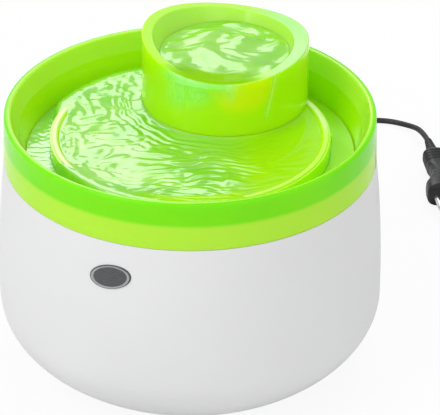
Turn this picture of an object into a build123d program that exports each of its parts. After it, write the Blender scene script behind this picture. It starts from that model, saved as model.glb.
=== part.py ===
from build123d import *
import os
from math import atan2, cos, degrees, pi, radians, sin, sqrt, tan

# Pet water fountain. A white round reservoir stands on rubber feet. A green bowl hangs in its
# neck, with a drinking basin, a gutter that drains through a filter cartridge, and a pedestal.
# A pump on the reservoir's floor lifts water through a hose and the pedestal into a cup, and the
# water spills over the cup's lip into the basin. The mains cord leaves through a slot at the back.
# Millimetres. Origin: centre of the feet's plane on the table. +Z up, the front faces -Y.

# ---- Working values of the cuts and joins
PAST = 1.0               # how far a cut runs past the face it opens
SINK = 0.5               # how far a form is sunk into the one it is joined to
FIT = 0.05               # running and push fits, radially

# ---- Reservoir shell
BELLY_R = 126.6          # widest radius
BELLY_Z = 49.0           # height of the widest circle
BASE_R = 86.4            # flat base, under the curve
SHOULDER_IN = 5.6        # shoulder under the bowl's skirt, inside the widest circle
SHOULDER_Z = 147.6
SHELL_T = 3.0
NECK_T = 3.0
NECK_H = 17.4            # neck above the shoulder, behind the skirt

# ---- Rubber feet
FOOT_H = 2.0             # stands below the base
FOOT_R = 9.0
FOOT_RECESS = 1.0        # sunk into the base
FOOT_EDGE = 0.6
FOOT_CIRCLE_R = 66.0
FOOT_COUNT = 4

# ---- Badge, plain and oval
BADGE_W = 29.5
BADGE_H = 16.5
BADGE_T = 0.8
BADGE_AZ = -113.75       # degrees from +X
BADGE_DROP = 23.6        # below the shoulder
BADGE_TILT = -12.6       # degrees, its right end stands higher

# ---- Drinking bowl
RIM_IN = 1.0             # rim, inside the shoulder
RIM_H = 32.4             # rim above the shoulder
RIM_W = 4.0              # width of the rounded rim
RIM_ROUND_SHARE = 0.45   # rounding of its two edges, as a share of the width
SKIRT_T = 2.8
SKIRT_LIFT = 0.3         # between the skirt and the shoulder
NECK_CLEAR = 0.6         # between the skirt and the neck, radially
SEAT_CLEAR = 0.3         # between the seat ribs and the neck's edge
SEAT_RIBS = 8
SEAT_RIB_T = 2.4
GROOVE_CEILING = 4.0     # below the rim
LEDGE_IN = 9.0           # slope change of the inner wall, inside the rim
LEDGE_DROP = 12.0
LEDGE_FILLET = 2.0
GUTTER_IN = 4.5          # gutter's outer edge, inside the ledge
GUTTER_DROP = 30.0
GUTTER_FILLET = 3.0
WALL_T = 2.6
FLOOR_T = 2.5

# ---- Raised ring round the drinking basin
BASIN_IN = 24.1          # basin's radius less than the gutter's outer edge
RING_W = 8.6
RING_DROP = 17.0         # crest below the bowl's rim
RING_DRAFT = 0.6         # inner face leans outwards by this
RING_SLOPE = 3.5         # wide slope between the inner face and the crest
RING_STEP_W = 1.4        # small step outside the crest
RING_STEP_H = 0.9
RING_ROUND = 1.5
RING_EDGE = 0.4          # bevels of the crest's outer edge and of the step
RING_WALL = 2.4

# ---- Pedestal, spill cup and the water's way up
CUP_R = 54.8
CUP_AZ = 64.855          # direction of the cup from the bowl's axis
CUP_PAST_WALL = 2.43     # cup's far side past the gutter's outer edge
PEDESTAL_DROP = 16.8     # top below the bowl's rim
PEDESTAL_T = 2.5
CUP_LIFT = 0.3           # cup's foot above the pedestal
CUP_RISE = 25.7          # middle height of the cup's edge above the bowl's rim
CUP_TILT_X = -2.14       # edge height changes with the direction: first order
CUP_TILT_Y = 1.76
CUP_SADDLE = 3.02        # and second order, high at the sides and low at front and back
CUP_TWIST = -1.2
CUP_EDGE_ROUND = 0.8
CUP_EDGE_REACH = 6.0     # edge surface beyond the cup on every side
CUP_EDGE_GRID = 12       # steps across it, each way
CUP_FLOOR_RISE = 0.0     # cup's floor above the bowl's rim
CUP_SIDE_T = 9.3         # wall at the edge, left and right
CUP_LIP_T = 4.8          # and front and back: the hollow nearly meets the front lip
CUP_HOLLOW_DX = -0.5
CUP_HOLLOW_DY = -2.0
CUP_FLOOR_IN = 20.8      # hollow's floor, inside the cup's outside
CUP_SKIN = 3.0
CUP_RIM_SOLID = 9.0      # solid depth under the edge, above the underside's hollow
BORE_R = 4.0             # water's way through spigots and floor
CUP_SPIGOT_R = 6.6
CUP_SPIGOT_L = 16.6      # below the cup's foot
SOCKET_R = 7.3
SOCKET_WALL = 2.7
SOCKET_FLOOR = 5.0
SOCKET_END_CLEAR = 0.3   # under the cup's spigot
BOWL_SPIGOT_R = 5.6
BOWL_SPIGOT_L = 15.0
SEAL_R = 7.0
SEAL_W = 2.4
SEAL_GROOVE = 0.8
SEAL_ROUND = 0.6
SEAL_UP = 7.0            # above the spigot's end

# ---- Filter well and cartridge, sectors round the bowl's axis
WELL_EDGE = 1.5          # between the well and the gutter's outer edge
WELL_START_AZ = -34.0
WELL_END_AZ = 22.0
WELL_T = 2.0
WELL_DEPTH = 38.0
WELL_ROUND = 3.0
WELL_SLOTS = 9
SLOT_SHARE = 0.5         # slot's share of its pitch
WELL_SLOT_END = 4.0      # solid beside the slots' ends
WELL_RIB_AZ = 6.0
WELL_RIB_W = 3.2
WELL_RIB_OUT = 1.8
WELL_RIB_UP = 6.0        # rib's top above the gutter's floor
CART_CLEAR = 0.7         # outer side of the cartridge
CART_RIB_CLEAR = 0.5     # between the cartridge and the well's rib
CART_END_CLEAR = 1.6     # at each end, along the inner side
CART_FLOOR_CLEAR = 0.3
CART_H = 26.0
CART_WALL = 1.2
CART_LID_T = 2.0
CART_SLOT_END = 3.0
PAD_CLEAR = 0.2
PAD_ROUND = 0.8
FOAM_H = 11.0
CARBON_H = 10.0
TAB_AZ = 13.0
TAB_H = 9.0
TAB_W = 14.0
TAB_T = 2.4
TAB_ROUND = 4.0

# ---- Pump, its axis along Y under the cup
SUCTION_H = 7.0
SUCTION_R = 6.5
SUCTION_STEM_R = 3.0
SUCTION_STEM_L = 2.0
SUCTION_LIP = 1.2
SUCTION_DISH = 2.5
SUCTION_DX = 12.0
SUCTION_END = 8.0        # from each end of the housing
HOUSING_W = 40.0
HOUSING_H = 34.0
HOUSING_L = 42.0
HOUSING_T = 2.0
HOUSING_ROUND = 3.0
ROTOR_BORE_R = 8.2
ROTOR_WELL_L = 21.0
SLEEVE_T = 1.5
CORE_LEG_X = 10.0        # inner face of each core leg from the axis
CORE_LEG_T = 3.0
CORE_HALF_H = 7.0
CORE_YOKE_T = 3.0
CORE_FROM_END = 3.0
WINDING_BUILD = 4.4
WINDING_GAP = 1.0        # past the yoke
WINDING_L = 11.0
WINDING_ROUND = 3.0
POTTING_RECESS = 0.5
MAGNET_R = 7.7
MAGNET_GAP = 1.0         # at each end of the magnet
STEM_R = 3.15
SHAFT_R = 1.5
SHAFT_END = 0.2          # short of the well's end
BUSH_L = 2.5
VOLUTE_R = 18.0
VOLUTE_WALL = 2.5
VOLUTE_L = 18.0
VOLUTE_FACE_T = 2.0
INLET_R = 10.0
HUB_R = 4.5
HUB_L = 5.5
HUB_FACE_T = 0.5         # hub's rim over the front bush
HUB_GAP = 0.5            # between the hub and the impeller's stem
ARM_W = 2.0
ARM_COUNT = 3
FRONT_BUSH_R = 3.0
IMPELLER_R = 13.0
BLADE_COUNT = 6
BLADE_T = 1.4
BLADE_L = 7.2
BLADE_TIP = 0.3          # blade's end inside the disc's edge
DISC_T = 1.5
DISC_GAP = 1.3
SPOUT_R = 5.95
SPOUT_BORE_R = 4.2
SPOUT_Y = 7.0            # from the volute's back
SPOUT_H = 15.0           # above the housing
COVER_T = 2.3
COVER_GAP = 0.3
COVER_L = 16.0
COVER_OVERLAP = 2.5
COVER_ROUND = 2.0
COVER_SLOTS = 12
COVER_SLOT_W = 3.2
COVER_SLOT_END = 1.5
WINDOW_W = 4.0
WINDOW_H = 10.0
WINDOW_PITCH = 8.0
SLIDER_W = 28.0
SLIDER_H = 14.0
SLIDER_T = 1.5
SLIDER_GAP = 0.3
RAIL_W = 2.0
RAIL_L = 30.0
RAIL_LIP = 1.2
NUB_W = 2.0
NUB_H = 9.0
NUB_OUT = 2.7

# ---- Riser hose
HOSE_R = 8.0
HOSE_BORE_R = 6.0
HOSE_OVER_SPOUT = 12.0
HOSE_TOP_GAP = 0.5

# ---- Cord, gland and plug
CORD_D = 4.2
ARC_SHARE = 0.45         # a cord's arc over the shorter run, times the tangent of half the turn
GLAND_AZ = 100.0
SLOT_W = 9.0
SLOT_DEPTH = 9.3         # slot's end below the shoulder
GLAND_CLEAR = 0.15       # in the slot, on each side
GLAND_TOP_CLEAR = 0.3
GLAND_FLANGE = 6.5       # half width
GLAND_FLANGE_T = 1.6
GLAND_FLANGE_DOWN = 4.0  # below the slot's end
GLAND_FLANGE_GAP = 0.4   # from the shell's inner face
GLAND_SEAT = 0.2         # from the shell's outer face
GLAND_PAST_NECK = 2.6    # inner end, inside the neck
GLAND_ROUND = 2.5
BOOT_R0 = 4.6
BOOT_SLOPE = 45.0        # degrees below level
BOOT_TIP_T = 0.9         # rubber round the cord where a boot ends
PUMP_BOOT_R0 = 4.2
COIL_X = 46.0
COIL_Y = 175.0
COIL_R_IN = 17.6
COIL_R_OUT = 31.2
COIL_H = 17.6
TIE_T = 0.8
TIE_W = 8.0
TIE_AZ = 200.0
TIE_CLEAR = 0.1
PLUG_X = 182.0           # cord end of the plug's body
PLUG_Y = 239.0
PLUG_AZ = -83.0          # direction in which the pins point
PLUG_H = 20.0
PLUG_LIE = 0.05          # table to the body's flat side
PLUG_END_W = 6.4         # half widths of the body, from the cord end to the pin end
PLUG_GRIP_W = 9.0
PLUG_WAIST_W = 7.4
PLUG_FLARE_W = 12.5
PLUG_HEAD_W = 16.0
PLUG_GRIP_FROM = 4.0     # distances along the body, from the cord end
PLUG_GRIP_TO = 20.0
PLUG_WAIST_AT = 32.0
PLUG_FLARE_AT = 44.0
PLUG_HEAD_AT = 51.0
PLUG_L = 60.0
PLUG_END_H = 5.6         # half heights of the body
PLUG_GRIP_H = 7.2
PLUG_ROUND = 2.0
PLUG_RELIEF_L = 20.0
PLUG_RELIEF_R = 4.8
PIN_R = 2.4
PIN_L = 19.0
PIN_PITCH = 19.0
PIN_ROUND = 1.4

# Points of the cord's route, chosen one by one: from the gland to the coil, and from the coil
# to the plug. The lead inside the reservoir runs from the pump's boot to the gland.
DROP_ROUTE = [(-24.3, 137.9, 124.5), (-26.3, 149.2, 112.9), (-26.9, 153.6, 90.0),
              (-25.9, 154.6, 55.0), (-19.0, 154.4, 29.0), (-2.0, 152.5, 11.0),
              (20.0, 149.5, 3.5), (40.0, 146.6, 2.9)]
TAIL_ROUTE = [(74.6, 181.0, 16.1), (75.0, 201.0, 13.0), (77.5, 224.0, 5.5),
              (82.0, 250.0, 2.1), (95.0, 282.0, 2.1), (121.0, 303.5, 2.1),
              (149.0, 306.0, 2.1), (168.5, 294.5, 3.5), (176.3, 276.5, 9.0),
              (179.6, 258.85, 10.0)]
LEAD_ROUTE = [(-7.0, 10.0, 36.0), (-24.0, 10.5, 36.0), (-40.5, 22.0, 41.0),
              (-47.0, 41.0, 56.0), (-42.5, 57.0, 76.0), (-33.0, 68.0, 96.0),
              (-24.5, 76.5, 113.5), (-19.9, 85.8, 128.5), (-17.9, 95.8, 139.0),
              (-19.45, 110.3, 143.0)]

# ---- Heights, radii and lengths that follow from the sizes above
BASE_Z = FOOT_H
TANK_FLOOR_Z = BASE_Z + SHELL_T
BELLY_DROP = (BELLY_Z - BASE_Z) / sqrt(1 - (BASE_R / BELLY_R) ** 2)
SHOULDER_R = BELLY_R - SHOULDER_IN
RIM_R = SHOULDER_R - RIM_IN
LEDGE_R = RIM_R - LEDGE_IN
GUTTER_R = LEDGE_R - GUTTER_IN
BASIN_R = GUTTER_R - BASIN_IN
RING_R = BASIN_R + RING_W
HOLLOW_R_IN = BASIN_R + RING_WALL
HOLLOW_R_OUT = RING_R - RING_WALL
NECK_R = SHOULDER_R - SKIRT_T - NECK_CLEAR
NECK_TOP = SHOULDER_Z + NECK_H
RIM_Z = SHOULDER_Z + RIM_H
LEDGE_Z = RIM_Z - LEDGE_DROP
GUTTER_Z = RIM_Z - GUTTER_DROP
FLOOR_UNDER_Z = GUTTER_Z - FLOOR_T
RING_Z = RIM_Z - RING_DROP
PEDESTAL_Z = RIM_Z - PEDESTAL_DROP
CUP_REACH = GUTTER_R + CUP_PAST_WALL - CUP_R
CUP_X = CUP_REACH * cos(radians(CUP_AZ))
CUP_Y = CUP_REACH * sin(radians(CUP_AZ))
CUP_HOLLOW_RX = CUP_R - CUP_SIDE_T
CUP_HOLLOW_RY = CUP_R - CUP_LIP_T
CUP_FLOOR_R = CUP_R - CUP_FLOOR_IN
CUP_FOOT_Z = PEDESTAL_Z + CUP_LIFT
CUP_EDGE_Z = RIM_Z + CUP_RISE
CUP_FLOOR_Z = RIM_Z + CUP_FLOOR_RISE
CUP_TOP_Z = CUP_EDGE_Z + abs(CUP_TILT_X) + abs(CUP_TILT_Y) + abs(CUP_SADDLE) + abs(CUP_TWIST)
CUP_SPIGOT_Z = CUP_FOOT_Z - CUP_SPIGOT_L
SOCKET_Z = CUP_SPIGOT_Z - SOCKET_END_CLEAR
SOCKET_END_Z = SOCKET_Z - SOCKET_FLOOR
BOWL_SPIGOT_Z = SOCKET_END_Z - BOWL_SPIGOT_L
SEAL_Z = CUP_SPIGOT_Z + SEAL_UP
WELL_R_OUT = GUTTER_R - WELL_EDGE
WELL_R_IN = RING_R
WELL_FLOOR_Z = GUTTER_Z - WELL_DEPTH
CART_R_IN = WELL_R_IN + WELL_RIB_OUT + CART_RIB_CLEAR
CART_R_OUT = WELL_R_OUT - CART_CLEAR
CART_START_AZ = WELL_START_AZ + degrees(CART_END_CLEAR / CART_R_IN)
CART_END_AZ = WELL_END_AZ - degrees(CART_END_CLEAR / CART_R_IN)
CART_Z = WELL_FLOOR_Z + CART_FLOOR_CLEAR
CART_TOP = CART_Z + CART_H
FOAM_Z = CART_Z + CART_WALL
CARBON_Z = FOAM_Z + FOAM_H
CARBON_TOP = CARBON_Z + CARBON_H
HOUSING_Z = TANK_FLOOR_Z + SUCTION_H
ROTOR_Z = HOUSING_Z + HOUSING_H / 2
HOUSING_TOP = HOUSING_Z + HOUSING_H
VOLUTE_Y = CUP_Y - SPOUT_Y
VOLUTE_END = VOLUTE_Y + VOLUTE_L
HOUSING_Y = VOLUTE_Y - HOUSING_L
CHAMBER_R = VOLUTE_R - VOLUTE_WALL
CHAMBER_END = VOLUTE_END - VOLUTE_FACE_T
ROTOR_WELL_Y = VOLUTE_Y - ROTOR_WELL_L
MAGNET_Y = ROTOR_WELL_Y + BUSH_L + MAGNET_GAP
HUB_Y = VOLUTE_END - HUB_L
FRONT_BUSH_Y = HUB_Y + HUB_FACE_T
SPOUT_TOP = HOUSING_TOP + SPOUT_H
COVER_Y = VOLUTE_END - COVER_OVERLAP
COVER_END = COVER_Y + COVER_L
COVER_R_IN = VOLUTE_R + COVER_GAP
COVER_R = COVER_R_IN + COVER_T
PUMP_AXIS = Axis((CUP_X, 0, ROTOR_Z), (0, 1, 0))
SLOT_END_Z = SHOULDER_Z - SLOT_DEPTH
BOOT_TIP_R = CORD_D / 2 + BOOT_TIP_T
FROM_BELOW = (Align.CENTER, Align.CENTER, Align.MIN)


def post(radius, bottom, top, x=0.0, y=0.0):
    """Upright cylinder between two heights."""
    return Pos(x, y, bottom) * Cylinder(radius, top - bottom, align=FROM_BELOW)


def rod(radius, start, end):
    """Cylinder on the pump's axis between two Y values."""
    return Pos(CUP_X, (start + end) / 2, ROTOR_Z) * Rot(90, 0, 0) * Cylinder(radius, end - start)


def block(x0, x1, y0, y1, z0, z1):
    """Box between two corners."""
    return Pos((x0 + x1) / 2, (y0 + y1) / 2, (z0 + z1) / 2) * Box(x1 - x0, y1 - y0, z1 - z0)


def pump_block(half_w, y0, y1, half_h):
    """Box centred on the pump's axis."""
    return block(CUP_X - half_w, CUP_X + half_w, y0, y1, ROTOR_Z - half_h, ROTOR_Z + half_h)


def turned(points, radii=None):
    """Solid of revolution about Z of a closed outline of (radius, height) points."""
    if radii is None:
        outline = Polyline(*points, close=True)
    else:
        outline = FilletPolyline(*points, radius=radii, close=True)
    return revolve(Plane.XZ * make_face(outline), Axis.Z)


def sector(r_in, r_out, start, end, bottom, top, corner=0.0):
    """Upright block between two radii and two directions from the bowl's axis."""
    outer = CenterArc((0, 0), r_out, start, end - start)
    inner = CenterArc((0, 0), r_in, start, end - start)
    face = make_face([outer, Line(outer @ 1, inner @ 1), inner, Line(inner @ 0, outer @ 0)])
    if corner > 0:
        face = fillet(face.vertices(), corner)
    return extrude(Pos(0, 0, bottom) * face, top - bottom)


def sector_slots(r_in, r_out, start, end, bottom, top):
    """Evenly spread radial slots, cut through between two heights."""
    pitch = (end - start) / WELL_SLOTS
    half = pitch * SLOT_SHARE / 2
    slots = Part()
    for i in range(WELL_SLOTS):
        middle = start + pitch * (i + 0.5)
        slots += sector(r_in, r_out, middle - half, middle + half, bottom - PAST, top + PAST)
    return slots


def shell_form(grow, bottom, top):
    """Reservoir's round outline moved out by grow, between two heights."""
    drop = BELLY_DROP + grow
    reach = BELLY_R + grow
    start = degrees(atan2(BELLY_Z - bottom, sqrt(drop ** 2 - (BELLY_Z - bottom) ** 2)))
    low = EllipticalCenterArc((0, BELLY_Z), reach, drop, -start, arc_size=start)
    high = TangentArc((reach, BELLY_Z), (SHOULDER_R + grow, SHOULDER_Z), tangent=(0, 1))
    outline = [Line((0, bottom), low @ 0), low, high, Line(high @ 1, (0, SHOULDER_Z)),
               Line((0, SHOULDER_Z), (0, bottom))]
    form = revolve(Plane.XZ * make_face(outline), Axis.Z)
    return form & post(reach + PAST, bottom - PAST, top)


def shell_radius(z):
    """Outer radius of the shell at a height between the belly and the shoulder."""
    rise = SHOULDER_Z - BELLY_Z
    fall = BELLY_R - SHOULDER_R
    bend = (rise * rise + fall * fall) / (2 * fall)
    return BELLY_R - bend + sqrt(bend * bend - (z - BELLY_Z) ** 2)


def reach_of(point):
    """Distance of a point from the fountain's axis."""
    return sqrt(point[0] ** 2 + point[1] ** 2)


# ---- Reservoir

def foot_places():
    """Centres of the feet."""
    step = 2 * pi / FOOT_COUNT
    return [(FOOT_CIRCLE_R * cos(step * (i + 0.5)), FOOT_CIRCLE_R * sin(step * (i + 0.5)))
            for i in range(FOOT_COUNT)]


def slot_form(width, r0, r1, top):
    """Upright slot form towards +X between two radii, with a round lower end."""
    middle = SLOT_END_Z + width / 2
    upright = block(r0, r1, -width / 2, width / 2, middle, top)
    return upright + Pos((r0 + r1) / 2, 0, middle) * Rot(0, 90, 0) * Cylinder(width / 2, r1 - r0)


def at_gland(shape):
    """Turns a shape made towards +X to the gland's direction."""
    return Rot(0, 0, GLAND_AZ) * shape


def make_tank_shell():
    body = shell_form(0, BASE_Z, SHOULDER_Z) + post(NECK_R, SHOULDER_Z - PAST, NECK_TOP)
    body -= shell_form(-SHELL_T, TANK_FLOOR_Z, SHOULDER_Z - SHELL_T)
    body -= post(NECK_R - NECK_T, SHOULDER_Z - SHELL_T - PAST, NECK_TOP + PAST)
    for x, y in foot_places():
        body -= post(FOOT_R + FIT, BASE_Z - PAST, BASE_Z + FOOT_RECESS, x, y)
    return body - at_gland(slot_form(SLOT_W, NECK_R - NECK_T - PAST, BELLY_R + PAST, NECK_TOP + PAST))


def make_rubber_feet():
    pads = [post(FOOT_R, 0, BASE_Z + FOOT_RECESS, x, y) for x, y in foot_places()]
    return [fillet(pad.edges().group_by(Axis.Z)[0], FOOT_EDGE) for pad in pads]


def make_oval_badge():
    skin = shell_form(BADGE_T, BASE_Z, SHOULDER_Z) - shell_form(0, BASE_Z, SHOULDER_Z)
    oval = Rot(0, 0, -BADGE_TILT) * Ellipse(BADGE_W / 2, BADGE_H / 2)
    prism = extrude(Plane.YZ * oval, BELLY_R + BADGE_T + PAST)
    return skin & (Rot(0, 0, BADGE_AZ) * Pos(0, 0, SHOULDER_Z - BADGE_DROP) * prism)


# ---- Drinking bowl

def bowl_form():
    """Skirt, rim, inner wall and floor as one turned shell, before the groove is cut."""
    skirt_in = SHOULDER_R - SKIRT_T
    skirt_z = SHOULDER_Z + SKIRT_LIFT
    body = turned([(0, FLOOR_UNDER_Z), (0, RIM_Z), (RIM_R, RIM_Z), (SHOULDER_R, skirt_z),
                   (skirt_in, skirt_z), (skirt_in, FLOOR_UNDER_Z)])
    body -= turned([(0, GUTTER_Z), (GUTTER_R, GUTTER_Z), (LEDGE_R, LEDGE_Z),
                    (RIM_R - RIM_W, RIM_Z), (RIM_R - RIM_W, RIM_Z + PAST), (0, RIM_Z + PAST)],
                   [0, GUTTER_FILLET, LEDGE_FILLET, 0, 0, 0])
    rim = body.edges().filter_by(GeomType.CIRCLE).group_by(Axis.Z)[-1]
    return fillet(rim, RIM_W * RIM_ROUND_SHARE)


def neck_groove():
    """Space between the inner wall and the skirt, open downwards, that takes the neck."""
    skirt_in = SHOULDER_R - SKIRT_T
    top = RIM_Z - GROOVE_CEILING
    lean = (RIM_R - RIM_W - LEDGE_R) / LEDGE_DROP
    return turned([(GUTTER_R + WALL_T, FLOOR_UNDER_Z - PAST), (GUTTER_R + WALL_T, GUTTER_Z),
                   (LEDGE_R + WALL_T, LEDGE_Z), (LEDGE_R + WALL_T + lean * (top - LEDGE_Z), top),
                   (skirt_in, top), (skirt_in, FLOOR_UNDER_Z - PAST)])


def seat_ribs():
    """Radial plates across the groove, which rest on the neck's edge."""
    ribs = Part()
    for i in range(SEAT_RIBS):
        plate = block(LEDGE_R, SHOULDER_R - SKIRT_T / 2, -SEAT_RIB_T / 2, SEAT_RIB_T / 2,
                      NECK_TOP + SEAT_CLEAR, RIM_Z - GROOVE_CEILING / 2)
        ribs += Rot(0, 0, 360 / SEAT_RIBS * i) * plate
    return ribs


def well_space(bottom, top):
    """Inside of the filter well between two heights."""
    return sector(WELL_R_IN, WELL_R_OUT, WELL_START_AZ, WELL_END_AZ, bottom, top, WELL_ROUND)


def pedestal_space():
    """Hollow under the pedestal, through the floor."""
    return post(CUP_R - PEDESTAL_T, FLOOR_UNDER_Z - PAST, PEDESTAL_Z - PEDESTAL_T, CUP_X, CUP_Y)


def make_drinking_bowl():
    """Skirt, rim, inner wall and the gutter's floor."""
    body = bowl_form() - (neck_groove() - seat_ribs())
    body -= post(HOLLOW_R_OUT, FLOOR_UNDER_Z - PAST, GUTTER_Z + PAST)
    return body - pedestal_space() - well_space(FLOOR_UNDER_Z - PAST, GUTTER_Z + PAST)


def make_drinking_basin():
    """Basin's floor and the raised ring round it: inner face, slope, crest, small step, outer wall."""
    slope_r = BASIN_R + RING_DRAFT
    step_r = RING_R - RING_STEP_W
    step_z = RING_Z - RING_STEP_H
    hollow_z = RING_Z - RING_SLOPE - RING_WALL
    body = turned([(0, FLOOR_UNDER_Z), (0, GUTTER_Z), (BASIN_R, GUTTER_Z), (slope_r, RING_Z - RING_SLOPE),
                   (slope_r + RING_SLOPE, RING_Z), (step_r - RING_EDGE, RING_Z), (step_r, RING_Z - RING_EDGE),
                   (step_r, step_z), (RING_R - RING_EDGE, step_z), (RING_R, step_z - RING_EDGE),
                   (RING_R, GUTTER_Z), (HOLLOW_R_OUT, GUTTER_Z), (HOLLOW_R_OUT, hollow_z),
                   (HOLLOW_R_IN, hollow_z), (HOLLOW_R_IN, FLOOR_UNDER_Z)],
                  [0, 0, 0, RING_ROUND, RING_ROUND, 0, 0, 0, 0, 0, 0, 0, 0, 0, 0])
    return body - post(CUP_R, GUTTER_Z, RING_Z + PAST, CUP_X, CUP_Y) - pedestal_space()


def make_cup_pedestal():
    """Round step that carries the cup, its socket and the spigot that takes the hose."""
    wall = post(CUP_R, GUTTER_Z, PEDESTAL_Z, CUP_X, CUP_Y)
    body = wall - pedestal_space() - bowl_form()
    body += post(SOCKET_R + SOCKET_WALL, SOCKET_END_Z, PEDESTAL_Z - SINK, CUP_X, CUP_Y)
    body += post(BOWL_SPIGOT_R, BOWL_SPIGOT_Z, SOCKET_END_Z + SINK, CUP_X, CUP_Y)
    body -= post(SOCKET_R, SOCKET_Z, PEDESTAL_Z + PAST, CUP_X, CUP_Y)
    return body - post(BORE_R, BOWL_SPIGOT_Z - PAST, SOCKET_Z + PAST, CUP_X, CUP_Y)


def make_filter_well():
    """Pocket under the gutter for the filter cartridge, with slots below and a guide rib inside."""
    edge = degrees(WELL_T / WELL_R_IN)
    body = sector(WELL_R_IN - WELL_T, WELL_R_OUT + WELL_T, WELL_START_AZ - edge, WELL_END_AZ + edge,
                  WELL_FLOOR_Z - WELL_T, FLOOR_UNDER_Z, WELL_ROUND + WELL_T)
    body -= well_space(WELL_FLOOR_Z, GUTTER_Z)
    body -= sector_slots(WELL_R_IN + WELL_SLOT_END, WELL_R_OUT - WELL_SLOT_END, WELL_START_AZ, WELL_END_AZ,
                         WELL_FLOOR_Z - WELL_T, WELL_FLOOR_Z)
    rib = block(WELL_R_IN - SINK, WELL_R_IN + WELL_RIB_OUT, -WELL_RIB_W / 2, WELL_RIB_W / 2,
                WELL_FLOOR_Z - SINK, GUTTER_Z + WELL_RIB_UP)
    return body + (Rot(0, 0, WELL_RIB_AZ) * rib - make_drinking_bowl() - make_drinking_basin())


# ---- Spill cup

def edge_height(x, y):
    """Height of the cup's edge surface over a point, counted from the cup's axis."""
    u, v = x / CUP_R, y / CUP_R
    return (CUP_EDGE_Z + CUP_TILT_X * u + CUP_TILT_Y * v + CUP_SADDLE * (u * u - v * v)
            + CUP_TWIST * 2 * u * v)


def above_edge():
    """Everything above the cup's saddle-shaped edge surface."""
    reach = CUP_R + CUP_EDGE_REACH
    steps = [reach * (2 * i / CUP_EDGE_GRID - 1) for i in range(CUP_EDGE_GRID + 1)]
    grid = [[Vector(CUP_X + x, CUP_Y + y, edge_height(x, y)) for x in steps] for y in steps]
    surface = Face.make_surface_from_array_of_points(grid, tol=0.001)
    return extrude(surface, amount=CUP_RISE + CUP_EDGE_REACH, dir=(0, 0, 1))


def hollow_form(grow):
    """Cup's hollow: a round floor that widens to an ellipse above the edge."""
    floor = Pos(CUP_X, CUP_Y, CUP_FLOOR_Z - grow) * Circle(CUP_FLOOR_R + grow)
    rise = (CUP_TOP_Z - CUP_FLOOR_Z) / (CUP_EDGE_Z - CUP_FLOOR_Z)
    rx = CUP_FLOOR_R + (CUP_HOLLOW_RX - CUP_FLOOR_R) * rise + grow
    ry = CUP_FLOOR_R + (CUP_HOLLOW_RY - CUP_FLOOR_R) * rise + grow
    centre = Pos(CUP_X + CUP_HOLLOW_DX * rise, CUP_Y + CUP_HOLLOW_DY * rise, CUP_TOP_Z)
    return loft([floor, centre * Ellipse(rx, ry)])


def make_spill_cup():
    body = post(CUP_R, CUP_FOOT_Z, CUP_TOP_Z, CUP_X, CUP_Y) - hollow_form(0)
    body -= above_edge()
    body = fillet(edge_curves(body), CUP_EDGE_ROUND)
    under = post(CUP_R - CUP_SKIN, CUP_FOOT_Z - PAST, CUP_EDGE_Z - CUP_RIM_SOLID, CUP_X, CUP_Y)
    body -= under - hollow_form(CUP_SKIN)
    body += post(CUP_SPIGOT_R, CUP_SPIGOT_Z, CUP_FLOOR_Z - SINK, CUP_X, CUP_Y)
    body -= post(BORE_R, CUP_SPIGOT_Z - PAST, CUP_FLOOR_Z + PAST, CUP_X, CUP_Y)
    groove = post(SEAL_R, SEAL_Z, SEAL_Z + SEAL_W, CUP_X, CUP_Y)
    return body - (groove - post(CUP_SPIGOT_R - SEAL_GROOVE, CUP_SPIGOT_Z, CUP_FOOT_Z, CUP_X, CUP_Y))


def edge_curves(body):
    """The cup's two upper edges, inside and outside the saddle-shaped face."""
    return [edge for edge in body.edges() if edge.bounding_box().min.Z > CUP_FLOOR_Z + CUP_RISE / 2
            and edge.bounding_box().size.Z < CUP_RISE / 2]


def make_cup_seal():
    z0 = SEAL_Z + FIT
    ring = post(SEAL_R, z0, z0 + SEAL_W - 2 * FIT, CUP_X, CUP_Y)
    ring = fillet(ring.edges().filter_by(GeomType.CIRCLE), SEAL_ROUND)
    return ring - post(CUP_SPIGOT_R - SEAL_GROOVE + FIT, z0 - PAST, z0 + SEAL_W + PAST, CUP_X, CUP_Y)


# ---- Filter cartridge

def cart_slots(bottom, top):
    """Grille of the tray's floor or of the lid."""
    return sector_slots(CART_R_IN + CART_SLOT_END, CART_R_OUT - CART_SLOT_END,
                        CART_START_AZ, CART_END_AZ, bottom, top)


def cart_fill(wall, bottom, height, corner):
    """Block inside the tray, at a distance from its outside."""
    edge = degrees(wall / CART_R_IN)
    return sector(CART_R_IN + wall, CART_R_OUT - wall, CART_START_AZ + edge, CART_END_AZ - edge, bottom,
                  bottom + height, corner)


def make_filter_tray():
    body = cart_fill(0, CART_Z, CART_H, WELL_ROUND - CART_CLEAR)
    body -= cart_fill(CART_WALL, FOAM_Z, CART_H, PAD_ROUND)
    return body - cart_slots(CART_Z, FOAM_Z)


def pad(bottom, height):
    """Filter pad that fills the tray."""
    return cart_fill(CART_WALL + PAD_CLEAR, bottom, height, PAD_ROUND)


def make_filter_lid():
    body = cart_fill(0, CART_TOP, CART_LID_T, WELL_ROUND - CART_CLEAR)
    body += pad(CARBON_TOP, CART_TOP - CARBON_TOP + SINK)
    body -= cart_slots(CARBON_TOP, CART_TOP + CART_LID_T)
    z0 = CART_TOP + CART_LID_T - SINK
    tab = block(-TAB_T / 2, TAB_T / 2, -TAB_W / 2, TAB_W / 2, z0, z0 + SINK + TAB_H)
    tab = fillet(tab.edges().filter_by(Axis.X).group_by(Axis.Z)[-1], TAB_ROUND)
    return body + Rot(0, 0, TAB_AZ) * Pos((CART_R_IN + CART_R_OUT) / 2, 0, 0) * tab


# ---- Pump

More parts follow.
